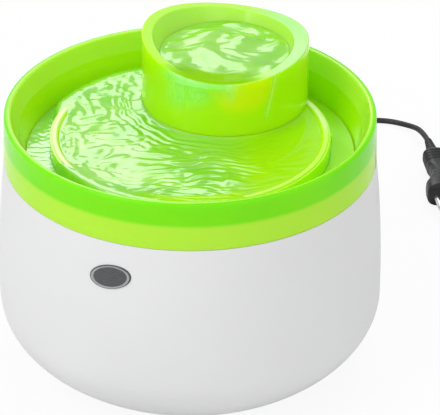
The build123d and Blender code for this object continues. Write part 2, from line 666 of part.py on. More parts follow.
def make_pump_housing():
    half_w, half_h = HOUSING_W / 2, HOUSING_H / 2
    body = pump_block(half_w, HOUSING_Y, VOLUTE_Y, half_h)
    body = fillet(body.edges().filter_by(Axis.Y), HOUSING_ROUND)
    body -= pump_block(half_w - HOUSING_T, HOUSING_Y - PAST, VOLUTE_Y - HOUSING_T, half_h - HOUSING_T)
    body += rod(ROTOR_BORE_R + SLEEVE_T, ROTOR_WELL_Y - SLEEVE_T, VOLUTE_Y - HOUSING_T / 2)
    return body - rod(ROTOR_BORE_R, ROTOR_WELL_Y, VOLUTE_Y + PAST)


def make_stator_core():
    """U-shaped stack of laminations round the rotor well."""
    y0 = HOUSING_Y + CORE_FROM_END
    outer = pump_block(CORE_LEG_X + CORE_LEG_T, y0, VOLUTE_Y - HOUSING_T, CORE_HALF_H)
    return outer - pump_block(CORE_LEG_X, y0 + CORE_YOKE_T, VOLUTE_Y, CORE_HALF_H + PAST)


def make_stator_coils():
    """Two windings, one round each leg of the core."""
    y0 = HOUSING_Y + CORE_FROM_END + CORE_YOKE_T + WINDING_GAP
    windings = []
    for side in (-1, 1):
        x = CUP_X + side * (CORE_LEG_X + CORE_LEG_T / 2)
        half = CORE_LEG_T / 2 + WINDING_BUILD
        high = CORE_HALF_H + WINDING_BUILD
        winding = block(x - half, x + half, y0, y0 + WINDING_L, ROTOR_Z - high, ROTOR_Z + high)
        winding = fillet(winding.edges().filter_by(Axis.Y), WINDING_ROUND)
        windings.append(winding - make_stator_core())
    return windings


def make_potting_resin():
    body = pump_block(HOUSING_W / 2 - HOUSING_T, HOUSING_Y + POTTING_RECESS, VOLUTE_Y - HOUSING_T,
                      HOUSING_H / 2 - HOUSING_T)
    body -= rod(ROTOR_BORE_R + SLEEVE_T, ROTOR_WELL_Y - SLEEVE_T, VOLUTE_Y)
    body -= make_stator_core()
    for winding in make_stator_coils():
        body -= winding
    return body


def make_rotor_magnet():
    end = VOLUTE_Y - MAGNET_GAP
    return rod(MAGNET_R, MAGNET_Y, end) - rod(STEM_R + FIT, MAGNET_Y - PAST, end + PAST)


def make_impeller():
    blade_y = VOLUTE_Y + DISC_GAP + DISC_T
    stem_end = HUB_Y - HUB_GAP
    body = rod(STEM_R, MAGNET_Y, stem_end) + rod(IMPELLER_R, VOLUTE_Y + DISC_GAP, blade_y)
    for i in range(BLADE_COUNT):
        blade = block(CUP_X - BLADE_T / 2, CUP_X + BLADE_T / 2, blade_y - SINK, blade_y + BLADE_L,
                      ROTOR_Z + STEM_R - SINK, ROTOR_Z + IMPELLER_R - BLADE_TIP)
        body += blade.rotate(PUMP_AXIS, 360 / BLADE_COUNT * i)
    return body - rod(SHAFT_R + FIT, MAGNET_Y - PAST, stem_end + PAST)


def make_impeller_shaft():
    return rod(SHAFT_R, ROTOR_WELL_Y + SHAFT_END, FRONT_BUSH_Y + BUSH_L)


def bush(outer_r, start):
    """Plain bearing round the shaft."""
    end = start + BUSH_L
    return rod(outer_r - FIT, start, end) - rod(SHAFT_R + FIT / 2, start - PAST, end + PAST)


def make_volute_cover():
    body = rod(VOLUTE_R, VOLUTE_Y, VOLUTE_END)
    body += post(SPOUT_R, ROTOR_Z, SPOUT_TOP, CUP_X, CUP_Y)
    body -= rod(CHAMBER_R, VOLUTE_Y - PAST, CHAMBER_END)
    body -= rod(INLET_R, CHAMBER_END - PAST, VOLUTE_END + PAST)
    body -= post(SPOUT_BORE_R, ROTOR_Z, SPOUT_TOP + PAST, CUP_X, CUP_Y)
    body += rod(HUB_R, HUB_Y, VOLUTE_END)
    for i in range(ARM_COUNT):
        arm = block(CUP_X - ARM_W / 2, CUP_X + ARM_W / 2, CHAMBER_END, VOLUTE_END,
                    ROTOR_Z - INLET_R - SINK, ROTOR_Z - HUB_R + SINK)
        body += arm.rotate(PUMP_AXIS, 360 / ARM_COUNT * i)
    return body - rod(FRONT_BUSH_R, HUB_Y - PAST, FRONT_BUSH_Y + BUSH_L)


def windows(start, end):
    """Three upright openings, in the intake cover and in its slider alike."""
    holes = Part()
    for i in (-1, 0, 1):
        x = CUP_X + i * WINDOW_PITCH
        holes += block(x - WINDOW_W / 2, x + WINDOW_W / 2, start, end,
                       ROTOR_Z - WINDOW_H / 2, ROTOR_Z + WINDOW_H / 2)
    return holes


def slider_rail(side):
    """Rail with a lip above or below the slider."""
    rail_z = SLIDER_H / 2 + SLIDER_GAP
    lip_y = COVER_END + SLIDER_T + 2 * SLIDER_GAP
    x0, x1 = CUP_X - RAIL_L / 2, CUP_X + RAIL_L / 2
    foot = sorted((ROTOR_Z + side * rail_z, ROTOR_Z + side * (rail_z + RAIL_W)))
    lip = sorted((ROTOR_Z + side * (rail_z - RAIL_LIP), ROTOR_Z + side * (rail_z + RAIL_W)))
    return block(x0, x1, COVER_END - SINK, lip_y, *foot) + block(x0, x1, lip_y, lip_y + RAIL_LIP, *lip)


def make_intake_cover():
    face_y = COVER_END - COVER_T
    body = rod(COVER_R, COVER_Y, COVER_END)
    body = fillet(body.edges().group_by(Axis.Y)[-1], COVER_ROUND)
    body -= rod(COVER_R_IN, COVER_Y - PAST, face_y)
    for i in range(COVER_SLOTS):
        slot = block(CUP_X - COVER_SLOT_W / 2, CUP_X + COVER_SLOT_W / 2, VOLUTE_END + COVER_SLOT_END,
                     face_y - COVER_SLOT_END, ROTOR_Z + COVER_R_IN - PAST, ROTOR_Z + COVER_R + PAST)
        body -= slot.rotate(PUMP_AXIS, 360 / COVER_SLOTS * (i + 0.5))
    body -= windows(face_y - PAST, COVER_END + PAST)
    return body + slider_rail(-1) + slider_rail(1)


def make_flow_slider():
    y0 = COVER_END + SLIDER_GAP
    y1 = y0 + SLIDER_T
    nub_x = CUP_X + WINDOW_PITCH / 2
    body = block(CUP_X - SLIDER_W / 2, CUP_X + SLIDER_W / 2, y0, y1,
                 ROTOR_Z - SLIDER_H / 2, ROTOR_Z + SLIDER_H / 2)
    body -= windows(y0 - PAST, y1 + PAST)
    return body + block(nub_x - NUB_W / 2, nub_x + NUB_W / 2, y1 - SINK, y1 + NUB_OUT,
                        ROTOR_Z - NUB_H / 2, ROTOR_Z + NUB_H / 2)


def make_suction_feet():
    feet = []
    cone_h = SUCTION_H - SUCTION_STEM_L
    for x in (CUP_X - SUCTION_DX, CUP_X + SUCTION_DX):
        for y in (HOUSING_Y + SUCTION_END, VOLUTE_Y - SUCTION_END):
            place = Pos(x, y, TANK_FLOOR_Z)
            cup = place * Cone(SUCTION_R, SUCTION_STEM_R, cone_h, align=FROM_BELOW)
            dish = place * Cone(SUCTION_R - SUCTION_LIP, 0, SUCTION_DISH, align=FROM_BELOW)
            feet.append(cup + post(SUCTION_STEM_R, TANK_FLOOR_Z + cone_h - SINK, HOUSING_Z, x, y) - dish)
    return feet


def make_pump_boot():
    x0, y, z = LEAD_ROUTE[0]
    length = CUP_X - HOUSING_W / 2 - x0
    return Pos(x0 + length, y, z) * Rot(0, -90, 0) * Cone(PUMP_BOOT_R0, BOOT_TIP_R, length, align=FROM_BELOW)


def make_riser_hose():
    bottom = SPOUT_TOP - HOSE_OVER_SPOUT
    top = SOCKET_END_Z - HOSE_TOP_GAP
    bore = post(HOSE_BORE_R, bottom - PAST, top + PAST, CUP_X, CUP_Y)
    return post(HOSE_R, bottom, top, CUP_X, CUP_Y) - bore


# ---- Cord, gland and plug

def make_cable_gland():
    """Rubber insert in the shell's slot, with two flanges, a tongue in the neck and a boot."""
    width = SLOT_W - 2 * GLAND_CLEAR
    low = SLOT_END_Z - GLAND_FLANGE_DOWN
    high = SHOULDER_Z - GLAND_TOP_CLEAR
    outer_r = shell_radius(low) + GLAND_SEAT
    inner_r = SHOULDER_R - SHELL_T - GLAND_FLANGE_GAP
    body = slot_form(width, NECK_R - NECK_T - GLAND_PAST_NECK, outer_r + SINK, high)
    body = Pos(0, 0, GLAND_CLEAR) * body & block(0, RIM_R * 2, -width, width, 0, high)
    body += block(NECK_R - NECK_T, NECK_R, -width / 2, width / 2, high - SINK, NECK_TOP - GLAND_TOP_CLEAR)
    body += block(inner_r - GLAND_FLANGE_T, inner_r, -GLAND_FLANGE, GLAND_FLANGE, low,
                  SHOULDER_Z - SHELL_T - GLAND_TOP_CLEAR)
    outer = block(outer_r, outer_r + GLAND_FLANGE_T, -GLAND_FLANGE, GLAND_FLANGE, low, high)
    body += fillet(outer.edges().filter_by(Axis.X), GLAND_ROUND)
    slope = radians(BOOT_SLOPE)
    tip = DROP_ROUTE[0]
    length = (reach_of(tip) - outer_r) / cos(slope)
    root = Pos(outer_r, 0, tip[2] + length * sin(slope))
    boot = root * Rot(0, 90 + BOOT_SLOPE, 0) * Cone(BOOT_R0, BOOT_TIP_R, length, align=FROM_BELOW)
    return at_gland(body + (boot - block(0, outer_r + SINK, -RIM_R, RIM_R, 0, RIM_Z)))


def corner_radii(points):
    """Radius of each arc of a route: a share of the shorter run over the tangent of half the turn."""
    radii = []
    for before, here, after in zip(points, points[1:], points[2:]):
        run_in = Vector(here) - Vector(before)
        run_out = Vector(after) - Vector(here)
        turn = radians(run_in.get_angle(run_out))
        radii.append(ARC_SHARE * min(run_in.length, run_out.length) / tan(turn / 2))
    return radii


def tube(name, points):
    """Round cord along straight runs joined by tangent arcs."""
    radii = corner_radii(points)
    path = FilletPolyline(*points, radius=radii)
    solid = sweep(Plane(origin=path @ 0, z_dir=path % 0) * Circle(CORD_D / 2), path=path)
    ideal = pi * CORD_D ** 2 / 4 * path.length
    print(name, "length", round(path.length, 1), "smallest arc", round(min(radii), 1),
          "volume over section times length", round(solid.volume / ideal, 4))
    return solid


def make_cord_coil():
    """Outer shape of the wound cord, lying on its tie."""
    top = TIE_T + COIL_H
    return post(COIL_R_OUT, TIE_T, top, COIL_X, COIL_Y) - post(COIL_R_IN, 0, top + PAST, COIL_X, COIL_Y)


def make_coil_tie():
    """Flat strap round the coil's section."""
    r0 = sqrt(COIL_R_IN ** 2 - (TIE_W / 2) ** 2) - TIE_CLEAR
    r1 = COIL_R_OUT + TIE_CLEAR
    top = TIE_T + COIL_H + TIE_CLEAR
    strap = block(r0 - TIE_T, r1 + TIE_T, -TIE_W / 2, TIE_W / 2, 0, top + TIE_T)
    strap -= block(r0, r1, -TIE_W, TIE_W, TIE_T, top)
    return Pos(COIL_X, COIL_Y, 0) * Rot(0, 0, TIE_AZ) * strap


def at_plug(shape):
    """Places a shape whose axis runs along +X from the cord end of the plug's body."""
    return Pos(PLUG_X, PLUG_Y, PLUG_H / 2) * Rot(0, 0, PLUG_AZ) * shape


def symmetric_face(points):
    """Face between a curve through (distance, half width) points and its mirror image."""
    upper = Spline(*points)
    lower = Spline(*[(x, -y) for x, y in points])
    return make_face([upper, Line(upper @ 1, lower @ 1), lower, Line(lower @ 0, upper @ 0)])


def make_plug_body():
    flat = PLUG_H / 2 - PLUG_LIE
    plan = symmetric_face([(0, PLUG_END_W), (PLUG_GRIP_FROM, PLUG_GRIP_W), (PLUG_GRIP_TO, PLUG_GRIP_W),
                           (PLUG_WAIST_AT, PLUG_WAIST_W), (PLUG_FLARE_AT, PLUG_FLARE_W),
                           (PLUG_HEAD_AT, PLUG_HEAD_W), (PLUG_L, PLUG_HEAD_W)])
    side = symmetric_face([(0, PLUG_END_H), (PLUG_GRIP_FROM, PLUG_GRIP_H), (PLUG_GRIP_TO, PLUG_GRIP_H),
                           (PLUG_FLARE_AT, flat - SINK), (PLUG_HEAD_AT, flat), (PLUG_L, flat)])
    body = extrude(Pos(0, 0, -PLUG_H) * plan, 2 * PLUG_H)
    body &= extrude(Pos(0, 2 * PLUG_H, 0) * Rot(90, 0, 0) * side, 4 * PLUG_H)
    return at_plug(fillet(body.edges().filter_by(GeomType.BSPLINE), PLUG_ROUND))


def make_plug_relief():
    cone = Cone(BOOT_TIP_R, PLUG_RELIEF_R, PLUG_RELIEF_L, align=FROM_BELOW)
    return at_plug(Pos(-PLUG_RELIEF_L, 0, 0) * Rot(0, 90, 0) * cone)


def make_plug_pins():
    pins = []
    for side in (-1, 1):
        pin = Cylinder(PIN_R, PIN_L, align=FROM_BELOW)
        pin = fillet(pin.edges().group_by(Axis.Z)[-1], PIN_ROUND)
        pins.append(at_plug(Pos(PLUG_L, side * PIN_PITCH / 2, 0) * Rot(0, 90, 0) * pin))
    return pins


NODES = {
    "tank_shell": make_tank_shell,
    "rubber_feet": make_rubber_feet,
    "oval_badge": make_oval_badge,
    "drinking_bowl": make_drinking_bowl,
    "drinking_basin": make_drinking_basin,
    "cup_pedestal": make_cup_pedestal,
    "filter_well": make_filter_well,
    "spill_cup": make_spill_cup,
    "cup_seal": make_cup_seal,
    "filter_tray": make_filter_tray,
    "filter_foam": lambda: pad(FOAM_Z, FOAM_H),
    "filter_carbon": lambda: pad(CARBON_Z, CARBON_H),
    "filter_lid": make_filter_lid,
    "pump_housing": make_pump_housing,
    "stator_core": make_stator_core,
    "stator_coils": make_stator_coils,
    "potting_resin": make_potting_resin,
    "rotor_magnet": make_rotor_magnet,
    "impeller": make_impeller,
    "impeller_shaft": make_impeller_shaft,
    "rear_bush": lambda: bush(ROTOR_BORE_R, ROTOR_WELL_Y),
    "front_bush": lambda: bush(FRONT_BUSH_R, FRONT_BUSH_Y),
    "volute_cover": make_volute_cover,
    "intake_cover": make_intake_cover,
    "flow_slider": make_flow_slider,
    "suction_feet": make_suction_feet,
    "pump_boot": make_pump_boot,
    "riser_hose": make_riser_hose,
    "pump_lead": lambda: tube("pump_lead", LEAD_ROUTE),
    "cable_gland": make_cable_gland,
    "cord_drop": lambda: tube("cord_drop", DROP_ROUTE),
    "cord_coil": make_cord_coil,
    "coil_tie": make_coil_tie,
    "cord_tail": lambda: tube("cord_tail", TAIL_ROUTE),
    "plug_relief": make_plug_relief,
    "plug_body": make_plug_body,
    "plug_pins": make_plug_pins,
}


def main():
    os.makedirs("parts", exist_ok=True)
    for name, make in NODES.items():
        made = make()
        if isinstance(made, list):
            made = Compound(children=[solid for piece in made for solid in piece.solids()])
        export_step(made, f"parts/{name}.step")
        print(name, "solids", len(made.solids()), "volume", round(made.volume))


main()
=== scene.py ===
import math

import bpy
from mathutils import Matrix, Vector, noise


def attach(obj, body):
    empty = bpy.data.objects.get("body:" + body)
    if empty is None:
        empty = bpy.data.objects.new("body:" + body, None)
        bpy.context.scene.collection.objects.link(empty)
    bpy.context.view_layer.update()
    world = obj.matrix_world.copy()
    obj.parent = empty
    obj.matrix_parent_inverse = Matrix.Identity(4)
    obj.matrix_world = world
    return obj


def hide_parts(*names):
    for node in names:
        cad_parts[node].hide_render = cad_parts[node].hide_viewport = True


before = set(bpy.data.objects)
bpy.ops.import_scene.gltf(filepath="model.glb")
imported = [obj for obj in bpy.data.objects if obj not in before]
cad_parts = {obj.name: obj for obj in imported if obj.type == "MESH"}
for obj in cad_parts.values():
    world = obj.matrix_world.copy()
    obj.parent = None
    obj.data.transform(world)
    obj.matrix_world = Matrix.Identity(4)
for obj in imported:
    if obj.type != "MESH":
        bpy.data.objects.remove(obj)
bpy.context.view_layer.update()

# Pet water fountain: materials, water, cord, plug and badge round the CAD frame. Lengths named
# _MM are millimetres, as in the part's source; everything that goes into a mesh is in metres.

MM = 0.001

# ---- Sizes repeated from the part's source, in millimetres
BELLY_R_MM, BELLY_Z_MM = 126.6, 49.0
SHOULDER_R_MM, SHOULDER_Z_MM = 121.0, 147.6
CUP_X_MM, CUP_Y_MM, CUP_R_MM = 23.0, 49.0, 54.8
CUP_REACH_MM, CUP_AZ = 54.13, math.radians(64.855)   # the cup's axis from the bowl's axis
CUP_EDGE_MM = 205.7
CUP_EDGE_TILT_MM = (-2.14, 1.76)          # change of the edge's height along x and along y
CUP_EDGE_SADDLE_MM = (3.02, -2.4)
CUP_FLOOR_MM = 180.0
CUP_FLOOR_R_MM = 34.0
CUP_HOLLOW_MM = (45.5, 50.0)              # the hollow's half widths at the edge's height
CUP_HOLLOW_OFFSET_MM = (-0.5, -2.0)
RING_SLOPE_R_MM, RING_SLOPE_Z_MM = 83.0, 159.5   # foot of a slope that rises at 45 degrees
RING_R_MM = 91.0
GUTTER_R_MM = 106.5
BADGE_AZ, BADGE_Z_MM, BADGE_TILT = math.radians(-113.75), 124.0, math.radians(12.6)
BADGE_W_MM, BADGE_H_MM = 29.5, 16.5
CORD_D_MM = 4.2
PLUG_AT_MM, PLUG_AZ, PLUG_L_MM = (182.0, 239.0, 10.0), math.radians(-83.0), 60.0

# ---- Camera, fitted to the photograph's ellipses
IMAGE_W, IMAGE_H = 440, 415
FOCAL_PX = 2802.0
AXIS_PX = (190.17, 215.92)
CAM_DISTANCE = 1.846
CAM_ELEVATION = math.radians(31.077)
CAM_AIM = Vector((0, 0, 0.1))
SENSOR_MM = 36.0


def make_camera():
    """Camera that looks down at the bowl's axis, shifted to the photograph's framing."""
    data = bpy.data.cameras.new("camera")
    data.sensor_fit = "HORIZONTAL"
    data.sensor_width = SENSOR_MM
    data.lens = FOCAL_PX / IMAGE_W * SENSOR_MM
    data.shift_x = (IMAGE_W / 2 - AXIS_PX[0]) / IMAGE_W
    data.shift_y = (AXIS_PX[1] - IMAGE_H / 2) / IMAGE_W
    camera = bpy.data.objects.new("camera", data)
    back = Vector((0, -math.cos(CAM_ELEVATION), math.sin(CAM_ELEVATION)))
    camera.location = CAM_AIM + back * CAM_DISTANCE
    camera.rotation_euler = (math.pi / 2 - CAM_ELEVATION, 0, 0)
    bpy.context.collection.objects.link(camera)
    bpy.context.scene.camera = camera


make_camera()


# ---- Small helpers

def srgb(r, g, b):
    """Colour as seen in a picture, 0 to 255, to linear values."""
    def one(c):
        c /= 255
        return c / 12.92 if c <= 0.04045 else ((c + 0.055) / 1.055) ** 2.4
    return (one(r), one(g), one(b), 1.0)


def smoothstep(x, low, high):
    """0 below low, 1 above high, and an even bend between them."""
    t = min(max((x - low) / (high - low), 0.0), 1.0)
    return t * t * (3 - 2 * t)


def mesh_piece(name, points_mm, faces, body, material):
    """Object from points in millimetres that rides on a CAD body."""
    mesh = bpy.data.meshes.new(name)
    mesh.from_pydata([Vector(p) * MM for p in points_mm], [], faces)
    mesh.validate()
    mesh.update()
    for polygon in mesh.polygons:
        polygon.use_smooth = True
    piece = bpy.data.objects.new(name, mesh)
    bpy.context.collection.objects.link(piece)
    mesh.materials.append(material)
    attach(piece, body)
    return piece


def grid_faces(rows, columns, closed=False):
    """Quads of a grid of points; closed joins the last column to the first."""
    faces = []
    span = columns if closed else columns - 1
    for i in range(rows - 1):
        for j in range(span):
            k = (j + 1) % columns
            row, below = i * columns, (i + 1) * columns
            faces.append((row + j, row + k, below + k, below + j))
    return faces


# ---- Materials

class Nodes:
    """Short way to build a material's node tree."""

    def __init__(self, name):
        self.material = bpy.data.materials.new(name)
        self.material.use_nodes = True
        self.tree = self.material.node_tree
        self.shader = self.tree.nodes["Principled BSDF"]
        self.coords = self.tree.nodes.new("ShaderNodeTexCoord")

    def node(self, kind, **values):
        """New node with its settings."""
        made = self.tree.nodes.new("ShaderNode" + kind)
        for key, value in values.items():
            setattr(made, key, value)
        return made

    def link(self, source, target):
        self.tree.links.new(source, target)

    def set(self, **values):
        """Constant values on the shader; an underscore stands for a space."""
        for key, value in values.items():
            self.shader.inputs[key.replace("_", " ")].default_value = value

    def scaled(self, scale):
        """Object coordinates times a scale along each axis."""
        mapping = self.node("Mapping")
        mapping.inputs["Scale"].default_value = scale
        self.link(self.coords.outputs["Object"], mapping.inputs["Vector"])
        return mapping.outputs["Vector"]

    def noise(self, scale, detail=3.0, rough=0.5, distortion=0.0, stretch=(1, 1, 1)):
        """Noise over the object's coordinates."""
        made = self.node("TexNoise")
        made.inputs["Scale"].default_value = scale
        made.inputs["Detail"].default_value = detail
        made.inputs["Roughness"].default_value = rough
        made.inputs["Distortion"].default_value = distortion
        self.link(self.scaled(stretch), made.inputs["Vector"])
        return made.outputs["Fac"]

    def ramp(self, source, low, high, first=0.0, last=1.0):
        """Maps low..high of a value to first..last, clamped and smooth."""
        made = self.node("MapRange", interpolation_type="SMOOTHSTEP")
        made.inputs["From Min"].default_value = low
        made.inputs["From Max"].default_value = high
        made.inputs["To Min"].default_value = first
        made.inputs["To Max"].default_value = last
        self.link(source, made.inputs["Value"])
        return made.outputs["Result"]

    def mix(self, factor, first, last):
        """Colour between two colours or sockets."""
        made = self.node("Mix", data_type="RGBA")
        self.link(factor, made.inputs["Factor"])
        for socket, value in ((made.inputs[6], first), (made.inputs[7], last)):
            if isinstance(value, tuple):
                socket.default_value = value
            else:
                self.link(value, socket)
        return made.outputs[2]

    def math(self, operation, first, second):
        """Result of an operation on two sockets or numbers."""
        made = self.node("Math", operation=operation)
        for socket, value in zip(made.inputs, (first, second)):
            if isinstance(value, (int, float)):
                socket.default_value = value
            else:
                self.link(value, socket)
        return made.outputs[0]

    def times(self, first, second):
        return self.math("MULTIPLY", first, second)

    def squares(self, first, second):
        """Sum of two squares."""
        return self.math("ADD", self.times(first, first), self.times(second, second))

    def length(self, across, along):
        """Distance from an axis."""
        return self.math("POWER", self.squares(across, along), 0.5)

    def axis(self, which, source="Object"):
        """One coordinate of the object or of its normal."""
        split = self.node("SeparateXYZ")
        self.link(self.coords.outputs[source], split.inputs[0])
        return split.outputs[which]

    def color(self, source):
        self.link(source, self.shader.inputs["Base Color"])

    def roughness(self, source):
        self.link(source, self.shader.inputs["Roughness"])

    def bump(self, source, strength, distance):
        """Relief of the surface; its depth is in metres."""
        made = self.node("Bump")
        made.inputs["Strength"].default_value = strength
        made.inputs["Distance"].default_value = distance
        self.link(source, made.inputs["Height"])
        self.link(made.outputs["Normal"], self.shader.inputs["Normal"])

    def polished(self):
        """Even gloss of polished moulded plastic."""
        self.roughness(self.ramp(self.noise(140, 3), 0.3, 0.7, 0.12, 0.18))
        self.bump(self.noise(520, 2), 0.02, 0.0001)


def moulded(name, color, shade, rough, grain=900, bump=0.08):
    """Moulded plastic or rubber: slight mottling, fine grain in the gloss and the surface."""
    m = Nodes(name)
    m.color(m.mix(m.ramp(m.noise(38, 4), 0.35, 0.7), color, shade))
    m.roughness(m.ramp(m.noise(grain / 6, 3), 0.3, 0.7, rough * 0.85, rough * 1.2))
    m.bump(m.noise(grain, 2), bump, 0.0002)
    return m.material


def brushed(name, color, shade, rough, stretch):
    """Metal with fine lines along one direction."""
    m = Nodes(name)
    lines = m.noise(420, 3, stretch=stretch)
    m.color(m.mix(m.ramp(lines, 0.3, 0.7), color, shade))
    m.roughness(m.ramp(lines, 0.3, 0.7, rough * 0.8, rough * 1.3))
    m.bump(lines, 0.15, 0.0001)
    m.set(Metallic=1.0)
    return m.material


def white_shell():
    """White moulded plastic with a satin gloss, a little darker low down."""
    m = Nodes("shell_white")
    cloud = m.ramp(m.noise(9, 2), 0.35, 0.65)
    height = m.ramp(m.axis("Z"), 0.0, 0.12)
    tint = m.mix(height, srgb(221, 221, 222), srgb(228, 228, 229))
    m.color(m.mix(cloud, tint, srgb(227, 227, 228)))
    m.roughness(m.ramp(m.noise(12, 2), 0.3, 0.7, 0.38, 0.42))
    return m.material


# Green plastic and water: linear colours, and heights and radii in metres as object coordinates are.
# A pair of radii or heights is the stretch over which one look gives way to the next. Radii of the
# cup and of its film are measured from the cup's axis, the others from the bowl's.
# inside the bowl the green is painted paler, for light that shines through the thin plastic
INNER_GREENS = ((0.50, 0.97, 0.004, 1), (0.56, 1.0, 0.006, 1))
SKIRT_GREENS = ((0.20, 0.83, 0.004, 1), (0.23, 0.87, 0.006, 1))
# cream of the painted highlight on the ring's crest
CREST_PAINTED_HIGHLIGHT = (0.76, 0.98, 0.36, 1)
UPPER_GREEN = (0.52, 0.97, 0.05, 1)
BACKED_GREEN = (0.46, 0.90, 0.045, 1)
SKIRT_FACE_R = (0.1165, 0.1185)
CREST_INNER_R, CREST_OUTER_R = (0.0858, 0.0868), (0.0908, 0.0913)
CREST_Z, UPPER_Z, BACKED_Z = (0.1612, 0.1626), (0.1670, 0.1690), (0.1625, 0.1660)
INNER_GLOSS, SKIRT_GLOSS = 0.5, 0.16
SCATTER_RGB = (0.6, 1.0, 0.2)

CUP_GREENS = ((0.45, 1.0, 0.003, 1), (0.52, 1.0, 0.005, 1))
# yellow of the painted glow on the cup's front
GLOW_YELLOW = (0.72, 1.0, 0.004, 1)
GLOW_X, GLOW_Z = (0.034, 0.022), (0.196, 0.018)   # middle and half width
CUP_INSIDE_GREEN = (0.50, 0.96, 0.09, 1)
# pale of the painted highlight on the cup's top face
CUP_TOP_HIGHLIGHT = (0.46, 0.96, 0.26, 1)
CUP_INSIDE_R, CUP_TOP_Z, CUP_TOP_RIGHT_X = (0.0525, 0.0542), (0.1955, 0.1975), (0.036, 0.062)

DEEP_WATERS = ((0.22, 0.65, 0.020, 1), (0.33, 0.76, 0.060, 1))
SUNLIT_WATER = (0.38, 0.80, 0.003, 1)
SUN_BLEND = 0.03                 # width of the change from one to the other
WATER_GLOSS, SUNLIT_LOSS = 0.5, 0.42

FALL_LEFT, FALL_RIGHT = math.radians(-146), math.radians(-55)   # the film's sides, from the cup's axis
LIP_AZ = math.radians(-107)      # middle of the lip that the water runs over
EDGE_LEAN = math.radians(9)      # the film's right edge leans this far to the left on its way down
# pale of the painted highlight on the film just below the lip
FILM_HIGHLIGHT_PALES = ((0.34, 0.95, 0.10, 1), (0.46, 0.98, 0.32, 1))
FILM_DEEP = (0.27, 0.64, 0.001, 1)
# colour of the painted highlight line down the film's right edge
FILM_HIGHLIGHT_LINE = (0.95, 1.0, 0.06, 1)
FILM_INNER_R, LIP_EDGE_R = (0.0350, 0.0385), (0.0540, 0.0548)
FILM_FULL_Z, FILM_FADE_Z = (0.1965, 0.1985), (0.184, 0.1985)
FILM_GLOSS_R, FILM_GLOSS = (0.0535, 0.0548), (0.04, 0.5)   # nearly dull on the lip, glossy on the wall
LINE_END_Z = (0.170, 0.180)      # the painted highlight line on the film's edge fades out between these heights
LINE_TOP_Z, LINE_FALL = 0.195, 0.034   # it leans by EDGE_LEAN over this fall from its top


def green_plastic(name):
    """Translucent lime plastic: deeper on the skirt, paler where the white neck stands behind it, and
    painted paler inside for light that shines through it.
    """
    m = Nodes(name)
    x, y, z = m.axis("X"), m.axis("Y"), m.axis("Z")
    cloud = m.ramp(m.noise(14, 3), 0.35, 0.65)
    reach = m.length(x, y)
    outside = m.ramp(reach, *SKIRT_FACE_R)
    crest = m.times(m.ramp(reach, *CREST_INNER_R), m.ramp(reach, *CREST_OUTER_R, 1.0, 0.0))
    # Painted highlight: the ring's crest is painted cream where it is lit, and painted shade keeps it
    # greener at its front right.
    painted_shade = m.times(m.ramp(x, 0.0, 0.02, 0.0, 0.8), m.ramp(y, -0.01, 0.02, 1.0, 0.0))
    high = m.math("SUBTRACT", m.ramp(z, *CREST_Z), painted_shade)
    painted_highlight = m.times(crest, m.math("MAXIMUM", high, 0.0))
    ringed = m.mix(painted_highlight, m.mix(cloud, *INNER_GREENS), CREST_PAINTED_HIGHLIGHT)
    upper = m.mix(m.ramp(z, *UPPER_Z), ringed, UPPER_GREEN)
    backed = m.mix(m.ramp(z, *BACKED_Z, 1.0, 0.0), m.mix(cloud, *SKIRT_GREENS), BACKED_GREEN)
    m.color(m.mix(outside, upper, backed))
    m.polished()
    gloss = m.ramp(outside, 0.0, 1.0, INNER_GLOSS, SKIRT_GLOSS)
    m.link(gloss, m.shader.inputs["Specular IOR Level"])
    m.set(Subsurface_Weight=0.3, Subsurface_Radius=SCATTER_RGB, Subsurface_Scale=0.008)
    return m.material


def from_cup_axis(m):
    """How far a point lies from the cup's axis along x and along y."""
    return (m.math("SUBTRACT", m.axis("X"), CUP_X_MM * MM),
            m.math("SUBTRACT", m.axis("Y"), CUP_Y_MM * MM))


def cup_plastic():
    """The cup's thick plastic: lighter inside, a painted highlight on the top's right, and a painted
    yellow glow where light gathers in the wall.
    """
    m = Nodes("cup_green")
    x, z = m.axis("X"), m.axis("Z")
    deep = m.mix(m.ramp(m.noise(16, 3), 0.35, 0.65), *CUP_GREENS)
    # Painted glow: a yellow patch on the front of the wall, where light gathers.
    dx = m.math("DIVIDE", m.math("SUBTRACT", x, GLOW_X[0]), GLOW_X[1])
    dz = m.math("DIVIDE", m.math("SUBTRACT", z, GLOW_Z[0]), GLOW_Z[1])
    front = m.ramp(m.axis("Y", "Normal"), -0.6, -0.2, 1.0, 0.0)
    glow = m.times(m.ramp(m.squares(dx, dz), 0.25, 1.2, 0.95, 0.0), front)
    body = m.mix(glow, deep, GLOW_YELLOW)
    high = m.ramp(z, *CUP_TOP_Z)
    inside = m.times(high, m.ramp(m.length(*from_cup_axis(m)), *CUP_INSIDE_R, 1.0, 0.0))
    light = m.mix(inside, body, CUP_INSIDE_GREEN)
    # Painted highlight: the upward faces of the top are painted pale towards the right.
    top = m.times(m.ramp(m.axis("Z", "Normal"), 0.5, 0.9), high)
    m.color(m.mix(m.times(top, m.ramp(x, *CUP_TOP_RIGHT_X)), light, CUP_TOP_HIGHLIGHT))
    m.polished()
    m.set(Specular_IOR_Level=0.3, Subsurface_Weight=0.35, Subsurface_Radius=SCATTER_RGB,
          Subsurface_Scale=0.012)
    return m.material


